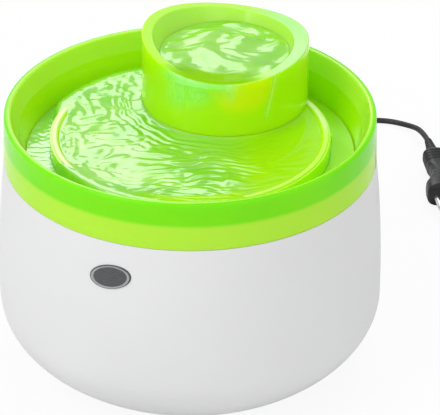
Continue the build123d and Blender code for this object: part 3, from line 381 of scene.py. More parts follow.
def water_surface(name, sun_x, stretch, ior=2.15):
    """Moving water over green plastic: its gloss carries the whites, the plastic shows between.
    Right of sun_x it is sunlit and less glossy."""
    m = Nodes(name)
    fine = m.noise(1, 3, 0.5, 0.6, stretch=stretch)
    depth = m.noise(1, 2, 0.5, 0.8, stretch=(14, 22, 14))
    sun = m.ramp(m.math("ADD", m.axis("X"), m.times(depth, SUN_BLEND)), sun_x, sun_x + SUN_BLEND)
    deep = m.mix(m.ramp(depth, 0.35, 0.65), *DEEP_WATERS)
    m.color(m.mix(sun, deep, SUNLIT_WATER))
    m.roughness(m.ramp(fine, 0.3, 0.7, 0.15, 0.21))
    m.bump(fine, 0.12, 0.0008)
    gloss = m.math("SUBTRACT", WATER_GLOSS, m.times(sun, SUNLIT_LOSS))
    m.link(gloss, m.shader.inputs["Specular IOR Level"])
    m.set(IOR=ior)
    return m.material


def falling_water():
    """Film over the lip: deep green on the lip, a pale painted highlight just below, faint streaks
    further down, and a painted highlight line along its right edge."""
    m = Nodes("water_film")
    streak = m.noise(1, 2, 0.5, 0.3, stretch=(75, 75, 9))
    z = m.axis("Z")
    across, along = from_cup_axis(m)
    angle = m.math("ARCTAN2", along, across)
    off_axis = m.length(across, along)
    on_wall = m.ramp(off_axis, *LIP_EDGE_R)
    on_lip = m.ramp(off_axis, *LIP_EDGE_R, 1.0, 0.0)

    # Painted highlight: the film is pale just below the lip, broken by streaks.
    pale = m.mix(m.ramp(streak, 0.35, 0.7), *FILM_HIGHLIGHT_PALES)
    raised = m.math("ADD", z, m.ramp(m.axis("X"), -0.02, 0.03, 0.012, 0.0))
    thin = m.times(m.ramp(streak, 0.3, 0.7, 0.2, 1.0), m.ramp(raised, *FILM_FADE_Z, 0.0, 0.85))
    strong = m.math("MAXIMUM", thin, m.ramp(z, *FILM_FULL_Z))
    sides = m.times(m.ramp(angle, FALL_LEFT, FALL_LEFT + 0.55),
                    m.ramp(angle, FALL_RIGHT - 0.45, FALL_RIGHT - 0.05, 1.0, 0.0))
    left_on_wall = m.math("MAXIMUM", m.ramp(angle, LIP_AZ + 0.15, LIP_AZ + 0.55, 1.0, 0.0), on_lip)
    film = m.times(m.times(strong, sides), m.times(left_on_wall, m.ramp(off_axis, *FILM_INNER_R)))

    # Painted highlight: a pale line down the film's right edge, leaning left as it falls.
    fallen = m.times(m.math("SUBTRACT", LINE_TOP_Z, z), EDGE_LEAN / LINE_FALL)
    off_line = m.math("SUBTRACT", m.math("ADD", angle, fallen), FALL_RIGHT - 0.02)
    line = m.ramp(m.math("ABSOLUTE", off_line, 0), 0.010, 0.045, 0.6, 0.0)
    line = m.times(m.times(line, m.ramp(z, *LINE_END_Z)), on_wall)

    m.color(m.mix(line, m.mix(on_wall, FILM_DEEP, pale), FILM_HIGHLIGHT_LINE))
    m.link(m.math("MAXIMUM", film, line), m.shader.inputs["Alpha"])
    m.link(m.ramp(off_axis, *FILM_GLOSS_R, *FILM_GLOSS), m.shader.inputs["Specular IOR Level"])
    m.roughness(m.ramp(streak, 0.3, 0.7, 0.04, 0.12))
    m.bump(streak, 0.12, 0.0008)
    m.set(IOR=1.33)
    return m.material


def foam(name, color, shade, cell):
    """Open-cell pad."""
    m = Nodes(name)
    cells = m.node("TexVoronoi")
    cells.inputs["Scale"].default_value = cell
    m.link(m.coords.outputs["Object"], cells.inputs["Vector"])
    # Painted shade: the pores are darker, as the holes lie in shade.
    m.color(m.mix(m.ramp(cells.outputs["Distance"], 0.05, 0.5), shade, color))
    m.bump(cells.outputs["Distance"], 0.9, 0.001)
    m.set(Roughness=0.95)
    return m.material


def winding():
    """Enamelled wire laid side by side."""
    m = Nodes("copper_wire")
    wires = m.node("TexWave", bands_direction="Y")
    wires.inputs["Scale"].default_value = 900
    m.link(m.coords.outputs["Object"], wires.inputs["Vector"])
    m.color(m.mix(wires.outputs["Fac"], (0.32, 0.09, 0.03, 1), (0.75, 0.30, 0.12, 1)))
    m.bump(wires.outputs["Fac"], 0.6, 0.0003)
    m.set(Metallic=0.9, Roughness=0.3)
    return m.material


def hose_clear():
    """Clear soft hose, slightly hazy."""
    m = Nodes("hose_clear")
    haze = m.noise(60, 3)
    m.color(m.mix(m.ramp(haze, 0.3, 0.7), (0.80, 0.86, 0.86, 1), (0.92, 0.95, 0.95, 1)))
    m.roughness(m.ramp(haze, 0.3, 0.7, 0.12, 0.25))
    m.bump(m.noise(300, 2), 0.1, 0.0004)
    m.set(Transmission_Weight=0.75, IOR=1.42)
    return m.material


def badge_metal(name, color, shade):
    """Satin metal of the badge's plate or of its border line."""
    m = Nodes(name)
    lines = m.noise(300, 3, stretch=(1, 1, 14))
    m.color(m.mix(m.ramp(lines, 0.3, 0.7), color, shade))
    m.roughness(m.ramp(lines, 0.3, 0.7, 0.3, 0.45))
    m.bump(lines, 0.1, 0.0001)
    m.set(Metallic=0.3)
    return m.material


BLACK = srgb(22, 22, 24)
BLACK_SHADE = srgb(30, 30, 32)

shell_white = white_shell()
bowl_green = green_plastic("bowl_green")
cup_green = cup_plastic()
cord_black = moulded("cord_black", BLACK, BLACK_SHADE, 0.42, grain=1400, bump=0.15)
rubber_black = moulded("rubber_black", srgb(20, 20, 22), srgb(28, 28, 30), 0.5, grain=1200, bump=0.1)
plug_black = moulded("plug_black", srgb(18, 18, 20), srgb(26, 26, 28), 0.36, grain=1000, bump=0.05)
pump_black = moulded("pump_black", srgb(28, 29, 32), srgb(38, 39, 43), 0.4)
resin_black = moulded("resin_black", srgb(20, 20, 22), srgb(34, 34, 36), 0.22, grain=300, bump=0.3)
slider_grey = moulded("slider_grey", srgb(96, 98, 104), srgb(110, 112, 118), 0.4)
filter_white = moulded("filter_white", srgb(232, 234, 228), srgb(240, 241, 236), 0.38)
impeller_white = moulded("impeller_white", srgb(224, 224, 220), srgb(234, 234, 230), 0.35)
ceramic = moulded("ceramic", srgb(238, 236, 228), srgb(246, 245, 240), 0.18, grain=1600, bump=0.05)
magnet_grey = moulded("magnet_grey", srgb(52, 50, 52), srgb(66, 64, 66), 0.45, grain=700, bump=0.35)
core_steel = brushed("core_steel", (0.36, 0.37, 0.39, 1), (0.52, 0.53, 0.56, 1), 0.35, (1, 1, 18))
pin_metal = brushed("pin_metal", (0.70, 0.70, 0.70, 1), (0.84, 0.84, 0.84, 1), 0.18, (1, 1, 14))
foam_white = foam("foam_white", srgb(232, 232, 228), srgb(170, 170, 166), 650)
carbon_black = foam("carbon_black", srgb(34, 34, 35), srgb(12, 12, 12), 800)

CAD_MATERIALS = {
    "tank_shell": shell_white, "rubber_feet": rubber_black, "drinking_bowl": bowl_green,
    "drinking_basin": bowl_green, "cup_pedestal": bowl_green, "filter_well": bowl_green,
    "spill_cup": cup_green, "cup_seal": rubber_black, "filter_tray": filter_white,
    "filter_foam": foam_white, "filter_carbon": carbon_black, "filter_lid": filter_white,
    "pump_housing": pump_black, "stator_core": core_steel, "stator_coils": winding(),
    "potting_resin": resin_black, "rotor_magnet": magnet_grey, "impeller": impeller_white,
    "impeller_shaft": ceramic, "rear_bush": rubber_black, "front_bush": rubber_black,
    "volute_cover": pump_black, "intake_cover": pump_black, "flow_slider": slider_grey,
    "suction_feet": rubber_black, "pump_boot": rubber_black, "riser_hose": hose_clear(),
    "cable_gland": rubber_black, "coil_tie": rubber_black, "plug_pins": pin_metal,
}


def dress_cad():
    """Gives each carried-over CAD node its material."""
    for name, material in CAD_MATERIALS.items():
        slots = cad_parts[name].data.materials
        slots.clear()
        slots.append(material)


dress_cad()


# ---- Cord: one line from the gland through the coil to the plug, and the lead inside

DROP_ROUTE = [(-24.3, 137.9, 124.5), (-26.3, 149.2, 112.9), (-26.9, 153.6, 90.0),
              (-25.9, 154.6, 55.0), (-19.0, 154.4, 29.0), (-2.0, 152.5, 11.0),
              (20.0, 149.5, 3.5), (40.0, 146.6, 2.9)]
TAIL_ROUTE = [(74.6, 181.0, 16.1), (75.0, 201.0, 13.0), (77.5, 224.0, 5.5),
              (82.0, 250.0, 2.1), (95.0, 282.0, 2.1), (121.0, 303.5, 2.1),
              (149.0, 306.0, 2.1), (168.5, 294.5, 3.5), (176.3, 276.5, 9.0),
              (179.6, 258.85, 10.0)]
LEAD_ROUTE = [(-7.0, 10.0, 36.0), (-24.0, 10.5, 36.0), (-40.5, 22.0, 41.0),
              (-47.0, 41.0, 56.0), (-42.5, 57.0, 76.0), (-33.0, 68.0, 96.0),
              (-24.5, 76.5, 113.5), (-19.9, 85.8, 128.5), (-17.9, 95.8, 139.0),
              (-19.45, 110.3, 143.0)]
COIL_AT_MM = (46.0, 175.0)
COIL_R_MM = (20.6, 29.0)         # innermost and outermost centreline
COIL_START = -90                 # degrees
COIL_FLOOR_MM = 2.9
COIL_LAYERS = 4
COIL_LAYER_MM = 4.35
COIL_TURNS = 7.25
POINTS_PER_TURN = 16


def coil_points():
    """Turns in flat layers, in and out by turns, from the front of the coil to its right side."""
    count = int(COIL_TURNS * POINTS_PER_TURN)
    points = []
    for i in range(1, count + 1):
        turns = COIL_TURNS * i / count
        layer = turns / COIL_TURNS * COIL_LAYERS
        level = min(int(layer), COIL_LAYERS - 1)
        along = layer - level
        inwards = along if level % 2 == 0 else 1 - along
        radius = COIL_R_MM[1] + (COIL_R_MM[0] - COIL_R_MM[1]) * inwards
        rise = smoothstep(along, 0.93, 1.0) / 2 if level < COIL_LAYERS - 1 else 0.0
        if level > 0:
            rise += smoothstep(along, 0.0, 0.07) / 2 - 0.5
        angle = math.radians(COIL_START + 360 * turns)
        points.append((COIL_AT_MM[0] + radius * math.cos(angle),
                       COIL_AT_MM[1] + radius * math.sin(angle),
                       COIL_FLOOR_MM + COIL_LAYER_MM * (level + rise)))
    return points


def cord_curve(name, points, material):
    """Round cord along one smooth spline."""
    curve = bpy.data.curves.new(name, "CURVE")
    curve.dimensions = "3D"
    curve.bevel_depth = CORD_D_MM / 2 * MM
    curve.bevel_resolution = 5
    curve.resolution_u = 5
    curve.use_fill_caps = True
    spline = curve.splines.new("NURBS")
    spline.points.add(len(points) - 1)
    for point, place in zip(spline.points, points):
        point.co = (*[c * MM for c in place], 1)
    spline.order_u = 3
    spline.use_endpoint_u = True
    curve.materials.append(material)
    piece = bpy.data.objects.new(name, curve)
    bpy.context.collection.objects.link(piece)
    return piece


cord = cord_curve("mains_cord", DROP_ROUTE + coil_points() + TAIL_ROUTE, cord_black)
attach(cord, "reservoir")
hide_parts("cord_drop", "cord_coil", "cord_tail")
lead = cord_curve("inner_lead", LEAD_ROUTE, cord_black)
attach(lead, "reservoir")
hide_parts("pump_lead")


# ---- Plug and its strain relief

PLUG_PROFILE = [  # distance from the cord end, half width, half height
    (0.0, 6.0, 5.4), (0.8, 7.4, 6.4), (4.0, 9.0, 7.2), (20.0, 9.0, 7.2), (26.0, 7.9, 7.5),
    (32.0, 7.4, 8.1), (38.0, 9.0, 8.8), (44.0, 12.5, 9.4), (49.0, 15.4, 9.9), (54.0, 16.0, 9.95),
    (58.6, 16.0, 9.95), (60.0, 15.0, 9.0)]
GRIP_MM = (3.4, 19.0)
GRIP_RIDGES = 4
RIDGE_DEPTH_MM = 0.7
STATIONS_PER_MM = 2
RELIEF_L_MM = 20.0
RELIEF_R_MM = (2.75, 4.75)
RELIEF_RINGS, RELIEF_GROOVE_MM = 6, 0.35
RELIEF_STEPS, RELIEF_SIDES = 60, 24


def profile_at(profile, x, column):
    """Smooth value of one column between a profile's stations."""
    for (x0, *low), (x1, *high) in zip(profile, profile[1:]):
        if x <= x1:
            t = smoothstep(x, x0, x1)
            return low[column] + (high[column] - low[column]) * t
    return profile[-1][1 + column]


def plug_place(x, y, z):
    """Point from the plug's own axes to the shared frame, in millimetres."""
    c, s = math.cos(PLUG_AZ), math.sin(PLUG_AZ)
    return (PLUG_AT_MM[0] + x * c - y * s, PLUG_AT_MM[1] + x * s + y * c, PLUG_AT_MM[2] + z)


def rounded_section(half_w, half_h, count=32, power=3.2):
    """Points round a rounded rectangle."""
    points = []
    for i in range(count):
        a = 2 * math.pi * i / count
        c, s = math.cos(a), math.sin(a)
        points.append((half_w * math.copysign(abs(c) ** (2 / power), c),
                       half_h * math.copysign(abs(s) ** (2 / power), s)))
    return points


def capped_tube(name, sections, body, material):
    """Closed tube through rings of points, with flat ends."""
    count = len(sections[0])
    points = [p for ring in sections for p in ring]
    faces = grid_faces(len(sections), count, closed=True)
    faces.append(tuple(reversed(range(count))))
    faces.append(tuple(range(len(points) - count, len(points))))
    return mesh_piece(name, points, faces, body, material)


def make_plug():
    """Plug body with grip ridges across its neck."""
    start, end = GRIP_MM
    last = int(PLUG_L_MM * STATIONS_PER_MM)
    stations = sorted({i / STATIONS_PER_MM for i in range(last + 1)} | {0.3, 59.8})
    sections = []
    for x in stations:
        groove = 0.0
        if start < x < end:
            wave = math.cos(2 * math.pi * GRIP_RIDGES * (x - start) / (end - start))
            groove = RIDGE_DEPTH_MM * (0.5 - 0.5 * wave)
        half_w, half_h = [profile_at(PLUG_PROFILE, x, column) - groove for column in (0, 1)]
        sections.append([plug_place(x, y, z) for y, z in rounded_section(half_w, half_h)])
    plug = capped_tube("plug_shell", sections, "reservoir", plug_black)
    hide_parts("plug_body")
    return plug


def make_relief():
    """Tapered sleeve with rings on the cord, behind the plug."""
    sections = []
    for i in range(RELIEF_STEPS + 1):
        x = -RELIEF_L_MM + i / (RELIEF_STEPS / RELIEF_L_MM)
        t = (x + RELIEF_L_MM) / RELIEF_L_MM
        radius = RELIEF_R_MM[0] + (RELIEF_R_MM[1] - RELIEF_R_MM[0]) * t
        if 0.08 < t < 0.92:
            radius -= RELIEF_GROOVE_MM * (0.5 - 0.5 * math.cos(2 * math.pi * t * RELIEF_RINGS))
        ring = [2 * math.pi * k / RELIEF_SIDES for k in range(RELIEF_SIDES)]
        sections.append([plug_place(x, radius * math.cos(a), radius * math.sin(a)) for a in ring])
    relief = capped_tube("plug_sleeve", sections, "reservoir", rubber_black)
    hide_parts("plug_relief")
    return relief


plug = make_plug()
relief = make_relief()


# ---- Badge: plain oval plate with a raised border, bent to the shell

BADGE_FIELD_MM = 0.42            # height of the plate over the shell
BADGE_BORDER_MM = 0.38           # height of the border over the plate
BORDER_IN, BORDER_OUT = (0.80, 0.85), (0.95, 1.0)
BORDER_PAINT = (0.80, 0.93)
BADGE_RINGS, BADGE_SIDES = 26, 72


def shell_radius(z):
    """Outer radius of the shell above its belly, in millimetres."""
    rise = SHOULDER_Z_MM - BELLY_Z_MM
    fall = BELLY_R_MM - SHOULDER_R_MM
    bend = (rise * rise + fall * fall) / (2 * fall)
    return BELLY_R_MM - bend + math.sqrt(bend * bend - (z - BELLY_Z_MM) ** 2)


def badge_height(t):
    """Height over the shell from the middle, 0, to the edge, 1."""
    border = BADGE_BORDER_MM * smoothstep(t, *BORDER_IN) * (1 - smoothstep(t, *BORDER_OUT))
    return BADGE_FIELD_MM * (1 - smoothstep(t, 0.97, 1.0)) + border


def make_badge():
    """Bare oval plate with a light border line."""
    points = []
    for i in range(BADGE_RINGS + 1):
        t = i / BADGE_RINGS
        for j in range(BADGE_SIDES):
            a = 2 * math.pi * j / BADGE_SIDES
            u, v = BADGE_W_MM / 2 * t * math.cos(a), BADGE_H_MM / 2 * t * math.sin(a)
            across = u * math.cos(BADGE_TILT) - v * math.sin(BADGE_TILT)
            z = BADGE_Z_MM + u * math.sin(BADGE_TILT) + v * math.cos(BADGE_TILT)
            radius = shell_radius(z) + badge_height(t)
            az = BADGE_AZ + across / BELLY_R_MM
            points.append((radius * math.cos(az), radius * math.sin(az), z))
    plate = badge_metal("badge_plate", srgb(72, 73, 75), srgb(90, 91, 93))
    faces = grid_faces(BADGE_RINGS + 1, BADGE_SIDES, closed=True)
    badge = mesh_piece("badge_oval", points, faces, "reservoir", plate)
    badge.data.materials.append(badge_metal("badge_line", srgb(150, 151, 153), srgb(172, 173, 175)))
    for face in badge.data.polygons:
        if BORDER_PAINT[0] < (face.index // BADGE_SIDES + 0.5) / BADGE_RINGS < BORDER_PAINT[1]:
            face.material_index = 1
    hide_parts("oval_badge")


make_badge()


# ---- Water in the basin, over its ring, in the gutter, in the cup and over the cup's lip

WATER_Z_MM = 161.2               # the basin's water
GUTTER_WATER_Z_MM = 151.6
CUP_WATER_Z_MM = 199.4
CUP_BACK_SINK_MM = 2.4           # the cup's water stands lower at the back, away from the lip
MENISCUS_MM = 1.6                # climb of the basin's water at the cup
CUP_GAP_MM = 0.05                # between the basin's water and the cup
SLOPE_OVERLAP_MM = 0.3           # the basin's water ends this far inside the ring's slope
TIP_WIDTH_MM = 0.3               # its tips are cut where the way from cup to ring is this narrow
LEAST_WIDTH_MM = 0.31            # the least width that the tips keep

RING_WAVE_MM, RING_WAVE_H_MM = 6.0, 0.35
SWELL_R_MM, SWELL_TURN_MM = 73.4, 0.28   # radius at azimuth 0, and its growth with each degree
SWELL_HALF_MM, SWELL_H_MM = 1.8, 0.5
BLOTCH_H_MM, STREAK_H_MM = 1.35, 1.15
SPILL_RIPPLE_H_MM = 0.15
GUTTER_NOISE_H_MM, GUTTER_RIPPLE_H_MM = 0.22, 0.16
BOIL_AT_MM, BOIL_R_MM, BOIL_H_MM = (10.0, 9.0), 15, 2.2
CUP_RING_MM, CUP_RING_H_MM = 26, 0.8
SWIRL_H_MM, FINE_SWIRL_H_MM = 1.6, 0.45
BUBBLES_AT_MM, BUBBLES_H_MM = (16, 14), 0.5


def wavy(x, y, z=0.0):
    """Smooth noise between -1 and 1, the same in every run."""
    return noise.noise(Vector((x, y, z)), noise_basis="PERLIN_ORIGINAL")


def cup_edge(x, y):
    """Height of the cup's saddle-shaped edge over a point from the cup's axis, millimetres."""
    u, v = x / CUP_R_MM, y / CUP_R_MM
    tilt, saddle = CUP_EDGE_TILT_MM, CUP_EDGE_SADDLE_MM
    return CUP_EDGE_MM + tilt[0] * u + tilt[1] * v + saddle[0] * (u * u - v * v) + saddle[1] * u * v


def lip_share(angle):
    """1 in the directions in which the cup's water runs over the lip, 0 in the others."""
    return smoothstep(math.cos(angle - LIP_AZ), 0.70, 0.95)


def basin_limit(angle):
    """Distance from the cup's axis to the ring's inner slope in a direction, at the water's height."""
    radius = RING_SLOPE_R_MM + WATER_Z_MM - RING_SLOPE_Z_MM + SLOPE_OVERLAP_MM
    b = CUP_X_MM * math.cos(angle) + CUP_Y_MM * math.sin(angle)
    return -b + math.sqrt(b * b - CUP_REACH_MM ** 2 + radius * radius)


def basin_wave(x, y):
    """Rings round the falling water, blotches at the left, streaks in front and a swell at the right."""
    distance = math.hypot(x - CUP_X_MM, y - CUP_Y_MM) - CUP_R_MM
    angle = math.atan2(y - CUP_Y_MM, x - CUP_X_MM)
    wx = x + 9 * wavy(x / 26, y / 26, 5.0)
    wy = y + 8 * wavy(x / 24, y / 30, 9.0)
    front = smoothstep(-y, 2.0, 30.0) * smoothstep(x, -72.0, -30.0)
    right = smoothstep(x, 25.0, 60.0)
    near = smoothstep(distance, 4.0, 22.0)
    under_cup = smoothstep(x, -34.0, -22.0)
    calm = (1 - under_cup * (1 - near)) * (1 - 0.8 * right)

    side = 1 - 0.6 * smoothstep(angle, -1.9, -1.4)
    ripples = math.sin(distance * 2 * math.pi / RING_WAVE_MM + wavy(x / 16, y / 16) * 4)
    rings = ripples * math.exp(-((distance - 13) / 9) ** 2) * side * (1 - right)

    reach, az = math.hypot(x, y), math.degrees(math.atan2(y, x))
    ridge = math.exp(-((reach - SWELL_R_MM - SWELL_TURN_MM * az) / SWELL_HALF_MM) ** 2)
    swell = ridge * smoothstep(az, -40.0, -24.0) * smoothstep(x, 30.0, 55.0)

    blotch = wavy(wx / 13, wy / 9, 3.0) + 0.5 * wavy(wx / 6, wy / 4.5, 6.0)
    streak = wavy(wx / 17, wy / 4.4, 7.0) + 0.35 * wavy(wx / 8, wy / 2.4, 8.0)
    moved = BLOTCH_H_MM * blotch * (1 - 0.7 * front) + STREAK_H_MM * streak * front
    return RING_WAVE_H_MM * rings + SWELL_H_MM * swell + calm * moved


def make_basin_water():
    """The basin's water, in rows from the cup's wall to the ring's inner slope."""
    columns, rows = 360, 150
    directions = (math.radians(-225 + 300 * i / 3000) for i in range(3001))
    angles = [a for a in directions if basin_limit(a) > CUP_R_MM + TIP_WIDTH_MM]
    first, last = angles[0], angles[-1]
    points = []
    for i in range(rows):
        t = i / (rows - 1)
        for j in range(columns):
            angle = first + (last - first) * j / (columns - 1)
            limit = max(basin_limit(angle), CUP_R_MM + LEAST_WIDTH_MM)
            radius = CUP_R_MM + CUP_GAP_MM + (limit - CUP_R_MM - CUP_GAP_MM) * t
            x, y = CUP_X_MM + radius * math.cos(angle), CUP_Y_MM + radius * math.sin(angle)
            calm = 1 - smoothstep(t, 0.93, 1.0)
            climb = MENISCUS_MM * math.exp(-(radius - CUP_R_MM) / MENISCUS_MM)
            points.append((x, y, WATER_Z_MM + climb + basin_wave(x, y) * calm))
    water = water_surface("water_basin", 0.03, (40, 120, 40))
    mesh_piece("water_basin", points, grid_faces(rows, columns), "bowl", water)


SPILL_INSIDE_DROP_MM = 0.4       # the spill starts this far under the basin's water
SPILL_SINK_MM = 1.3              # and sinks this far into the ring where it fades
SPILL_ROW_MM = 0.8
SPILL_COLUMNS = 110              # for each radian
SPILL_PROFILE = [  # radius from the bowl's axis, height over the water, and share of the leap
    (86.5, 2.4, 0), (89.0, 2.8, 0.05), (90.6, 2.7, 0.3), (91.2, 2.2, 0.7), (91.4, 1.1, 1),
    (91.6, -1.2, 1.1), (91.9, -6.2, 1.25), (92.4, -8.6, 1.3), (93.2, -9.8, 1.35)]


def spill_stations(inside):
    """The spill's profile from a radius inside the ring outwards, in short steps."""
    profile = [(inside, -SPILL_INSIDE_DROP_MM, 0)] + SPILL_PROFILE
    stations = []
    for inner, outer in zip(profile, profile[1:]):
        steps = max(1, int((outer[0] - inner[0]) / SPILL_ROW_MM))
        for k in range(steps):
            stations.append([a + (b - a) * k / steps for a, b in zip(inner, outer)])
    stations.append(profile[-1])
    return stations


def make_spill(name, inside, start, end, leap, fades, sun_x):
    """Water that swells over the ring between two directions and runs down into the gutter."""
    columns = int((end - start) * SPILL_COLUMNS)
    stations = spill_stations(inside)
    points = []
    for radius, rise, share in stations:
        for j in range(columns):
            s = j / (columns - 1)
            angle = start + (end - start) * s
            thick = smoothstep(s, 0.0, fades[0]) * (1 - smoothstep(s, 1 - fades[1], 1.0))
            x, y = radius * math.cos(angle), radius * math.sin(angle)
            wave = basin_wave(x, y) * (1 - 0.8 * smoothstep(radius, 82.0, 90.0))
            wave += SPILL_RIPPLE_H_MM * wavy(angle * 24, radius / 3, 3.0) * thick
            sunk = SPILL_SINK_MM * (1 - thick)
            over = max(rise, 0) * thick + min(rise, 0)
            r = radius + leap * share * thick - (sunk if radius > RING_R_MM - 0.5 else 0)
            points.append((r * math.cos(angle), r * math.sin(angle), WATER_Z_MM + over - sunk + wave))
    water = water_surface(name, sun_x, (40, 120, 40))
    mesh_piece(name, points, grid_faces(len(stations), columns), "bowl", water)


GUTTER_GAPS_MM = (0.15, 0.4)     # to the ring and to the gutter's outer wall
GUTTER_CUP_GAP = math.radians(0.3)


def make_gutter_water():
    """Shallow water that runs round the gutter and stands over the filter."""
    columns, rows = 460, 14
    inner, outer = RING_R_MM + GUTTER_GAPS_MM[0], GUTTER_R_MM - GUTTER_GAPS_MM[1]
    points = []
    for i in range(rows):
        radius = inner + (outer - inner) * i / (rows - 1)
        share = (radius ** 2 + CUP_REACH_MM ** 2 - CUP_R_MM ** 2) / (2 * radius * CUP_REACH_MM)
        half = math.acos(share) + GUTTER_CUP_GAP
        for j in range(columns):
            angle = CUP_AZ + half + (2 * math.pi - 2 * half) * j / (columns - 1)
            still = 1 - smoothstep(angle, 2 * math.pi - 0.8, 2 * math.pi - 0.4)
            phase = angle * 110 + wavy(angle * 6, radius / 5) * 6
            ripple = (GUTTER_NOISE_H_MM * wavy(angle * 22, radius / 9, 4.0)
                      + GUTTER_RIPPLE_H_MM * math.sin(phase))
            height = GUTTER_WATER_Z_MM + ripple * still
            points.append((radius * math.cos(angle), radius * math.sin(angle), height))
    water = water_surface("water_gutter", 0.03, (60, 60, 40), 2.6)
    mesh_piece("water_gutter", points, grid_faces(rows, columns), "bowl", water)


def hollow_radius(angle, z):
    """Point of the cup's hollow wall in a direction from its axis at a height, millimetres."""
    rise = (z - CUP_FLOOR_MM) / (CUP_EDGE_MM - CUP_FLOOR_MM)
    rx = CUP_FLOOR_R_MM + (CUP_HOLLOW_MM[0] - CUP_FLOOR_R_MM) * rise
    ry = CUP_FLOOR_R_MM + (CUP_HOLLOW_MM[1] - CUP_FLOOR_R_MM) * rise
    return (CUP_HOLLOW_OFFSET_MM[0] * rise + rx * math.cos(angle),
            CUP_HOLLOW_OFFSET_MM[1] * rise + ry * math.sin(angle))


def cup_wave(x, y):
    """Boil over the bore, swirls round it and small bubbles on its right."""
    bx, by = x - BOIL_AT_MM[0], y - BOIL_AT_MM[1]
    away = math.hypot(bx, by)
    turn = 0.9 * math.exp(-(away / 26) ** 2)
    sx = bx * math.cos(turn) - by * math.sin(turn)
    sy = bx * math.sin(turn) + by * math.cos(turn)
    boil = BOIL_H_MM * math.exp(-(away / BOIL_R_MM) ** 2)
    ring = CUP_RING_H_MM * math.cos(away * 2 * math.pi / CUP_RING_MM) * math.exp(-(away / 45) ** 2)
    swirl = (ring + SWIRL_H_MM * wavy(sx / 21, sy / 13, 11.0)
             + FINE_SWIRL_H_MM * wavy(sx / 9, sy / 5, 12.0))
    beside = (x - BUBBLES_AT_MM[0]) ** 2 + (y - BUBBLES_AT_MM[1]) ** 2
    bubbles = BUBBLES_H_MM * wavy(x / 2.4, y / 2.4, 13.0) * math.exp(-beside / 90)
    return boil + swirl + bubbles


def still_level(back):
    """Height of the cup's water without its waves, for -1 at the front to 1 at the back."""
    return CUP_WATER_Z_MM - CUP_BACK_SINK_MM * smoothstep(back, -0.3, 0.8)


BRIM_DROP_MM = 1.9               # at the lip the cup's water stands this far under the edge


def cup_level(angle, y, share):
    """Calm height of the cup's water: lower at the back, rising to the lip at the front."""
    level = still_level(y / CUP_HOLLOW_MM[1])
    brim = cup_edge(CUP_R_MM * math.cos(angle), CUP_R_MM * math.sin(angle)) - BRIM_DROP_MM
    return level + (brim - level) * smoothstep(share, 0.74, 1.0) * lip_share(angle)


def make_cup_water():
    """The cup's water: it boils over the bore and climbs smoothly to the lip at the front."""
    columns, rows = 220, 80
    kept_off = 0.997             # share of the hollow's width, so that the water clears its wall
    points = []
    for i in range(rows):
        t = i / (rows - 1)
        for j in range(columns):
            angle = 2 * math.pi * j / columns
            ex, ey = hollow_radius(angle, still_level(math.sin(angle)))
            x, y = ex * t * kept_off, ey * t * kept_off
            calm = (1 - smoothstep(t, 0.86, 1.0)) * (1 - lip_share(angle) * smoothstep(t, 0.62, 0.8))
            height = cup_level(angle, y, t) + cup_wave(x, y) * calm
            points.append((CUP_X_MM + x, CUP_Y_MM + y, height))
    water = water_surface("water_cup", 0.06, (70, 90, 40), 2.0)
    mesh_piece("water_cup", points, grid_faces(rows, columns, closed=True), "cup", water)


LIP_PROFILE = [  # distance inside the cup's outer face, height over its edge
    (8.5, -0.9), (7.0, 0.0), (5.2, 0.8), (3.4, 1.15), (1.8, 0.95), (0.4, 0.2), (-0.6, -1.2),
    (-0.95, -2.8), (-0.9, -4.6), (-0.7, -6.6)]
FILM_INNER_ROWS = 14
FILM_REACH_MM = 12.6             # the film starts this far inside the lip, over the cup's water
FILM_OVER_MM = 0.5               # and this far above it
FILM_EDGE = 0.04                 # radians past FALL_RIGHT, in which the painted highlight line fades out
FILM_THICK_MM, FILM_WAVE_MM = 0.35, 0.3
FILM_LIP_GAP_MM, FILM_WALL_GAP_MM = 0.1, 0.12
FILM_FOOT_MM = 1.6               # the film spreads outwards at its foot
FILM_DIP_MM = 0.4                # the foot stands this far under the basin's water


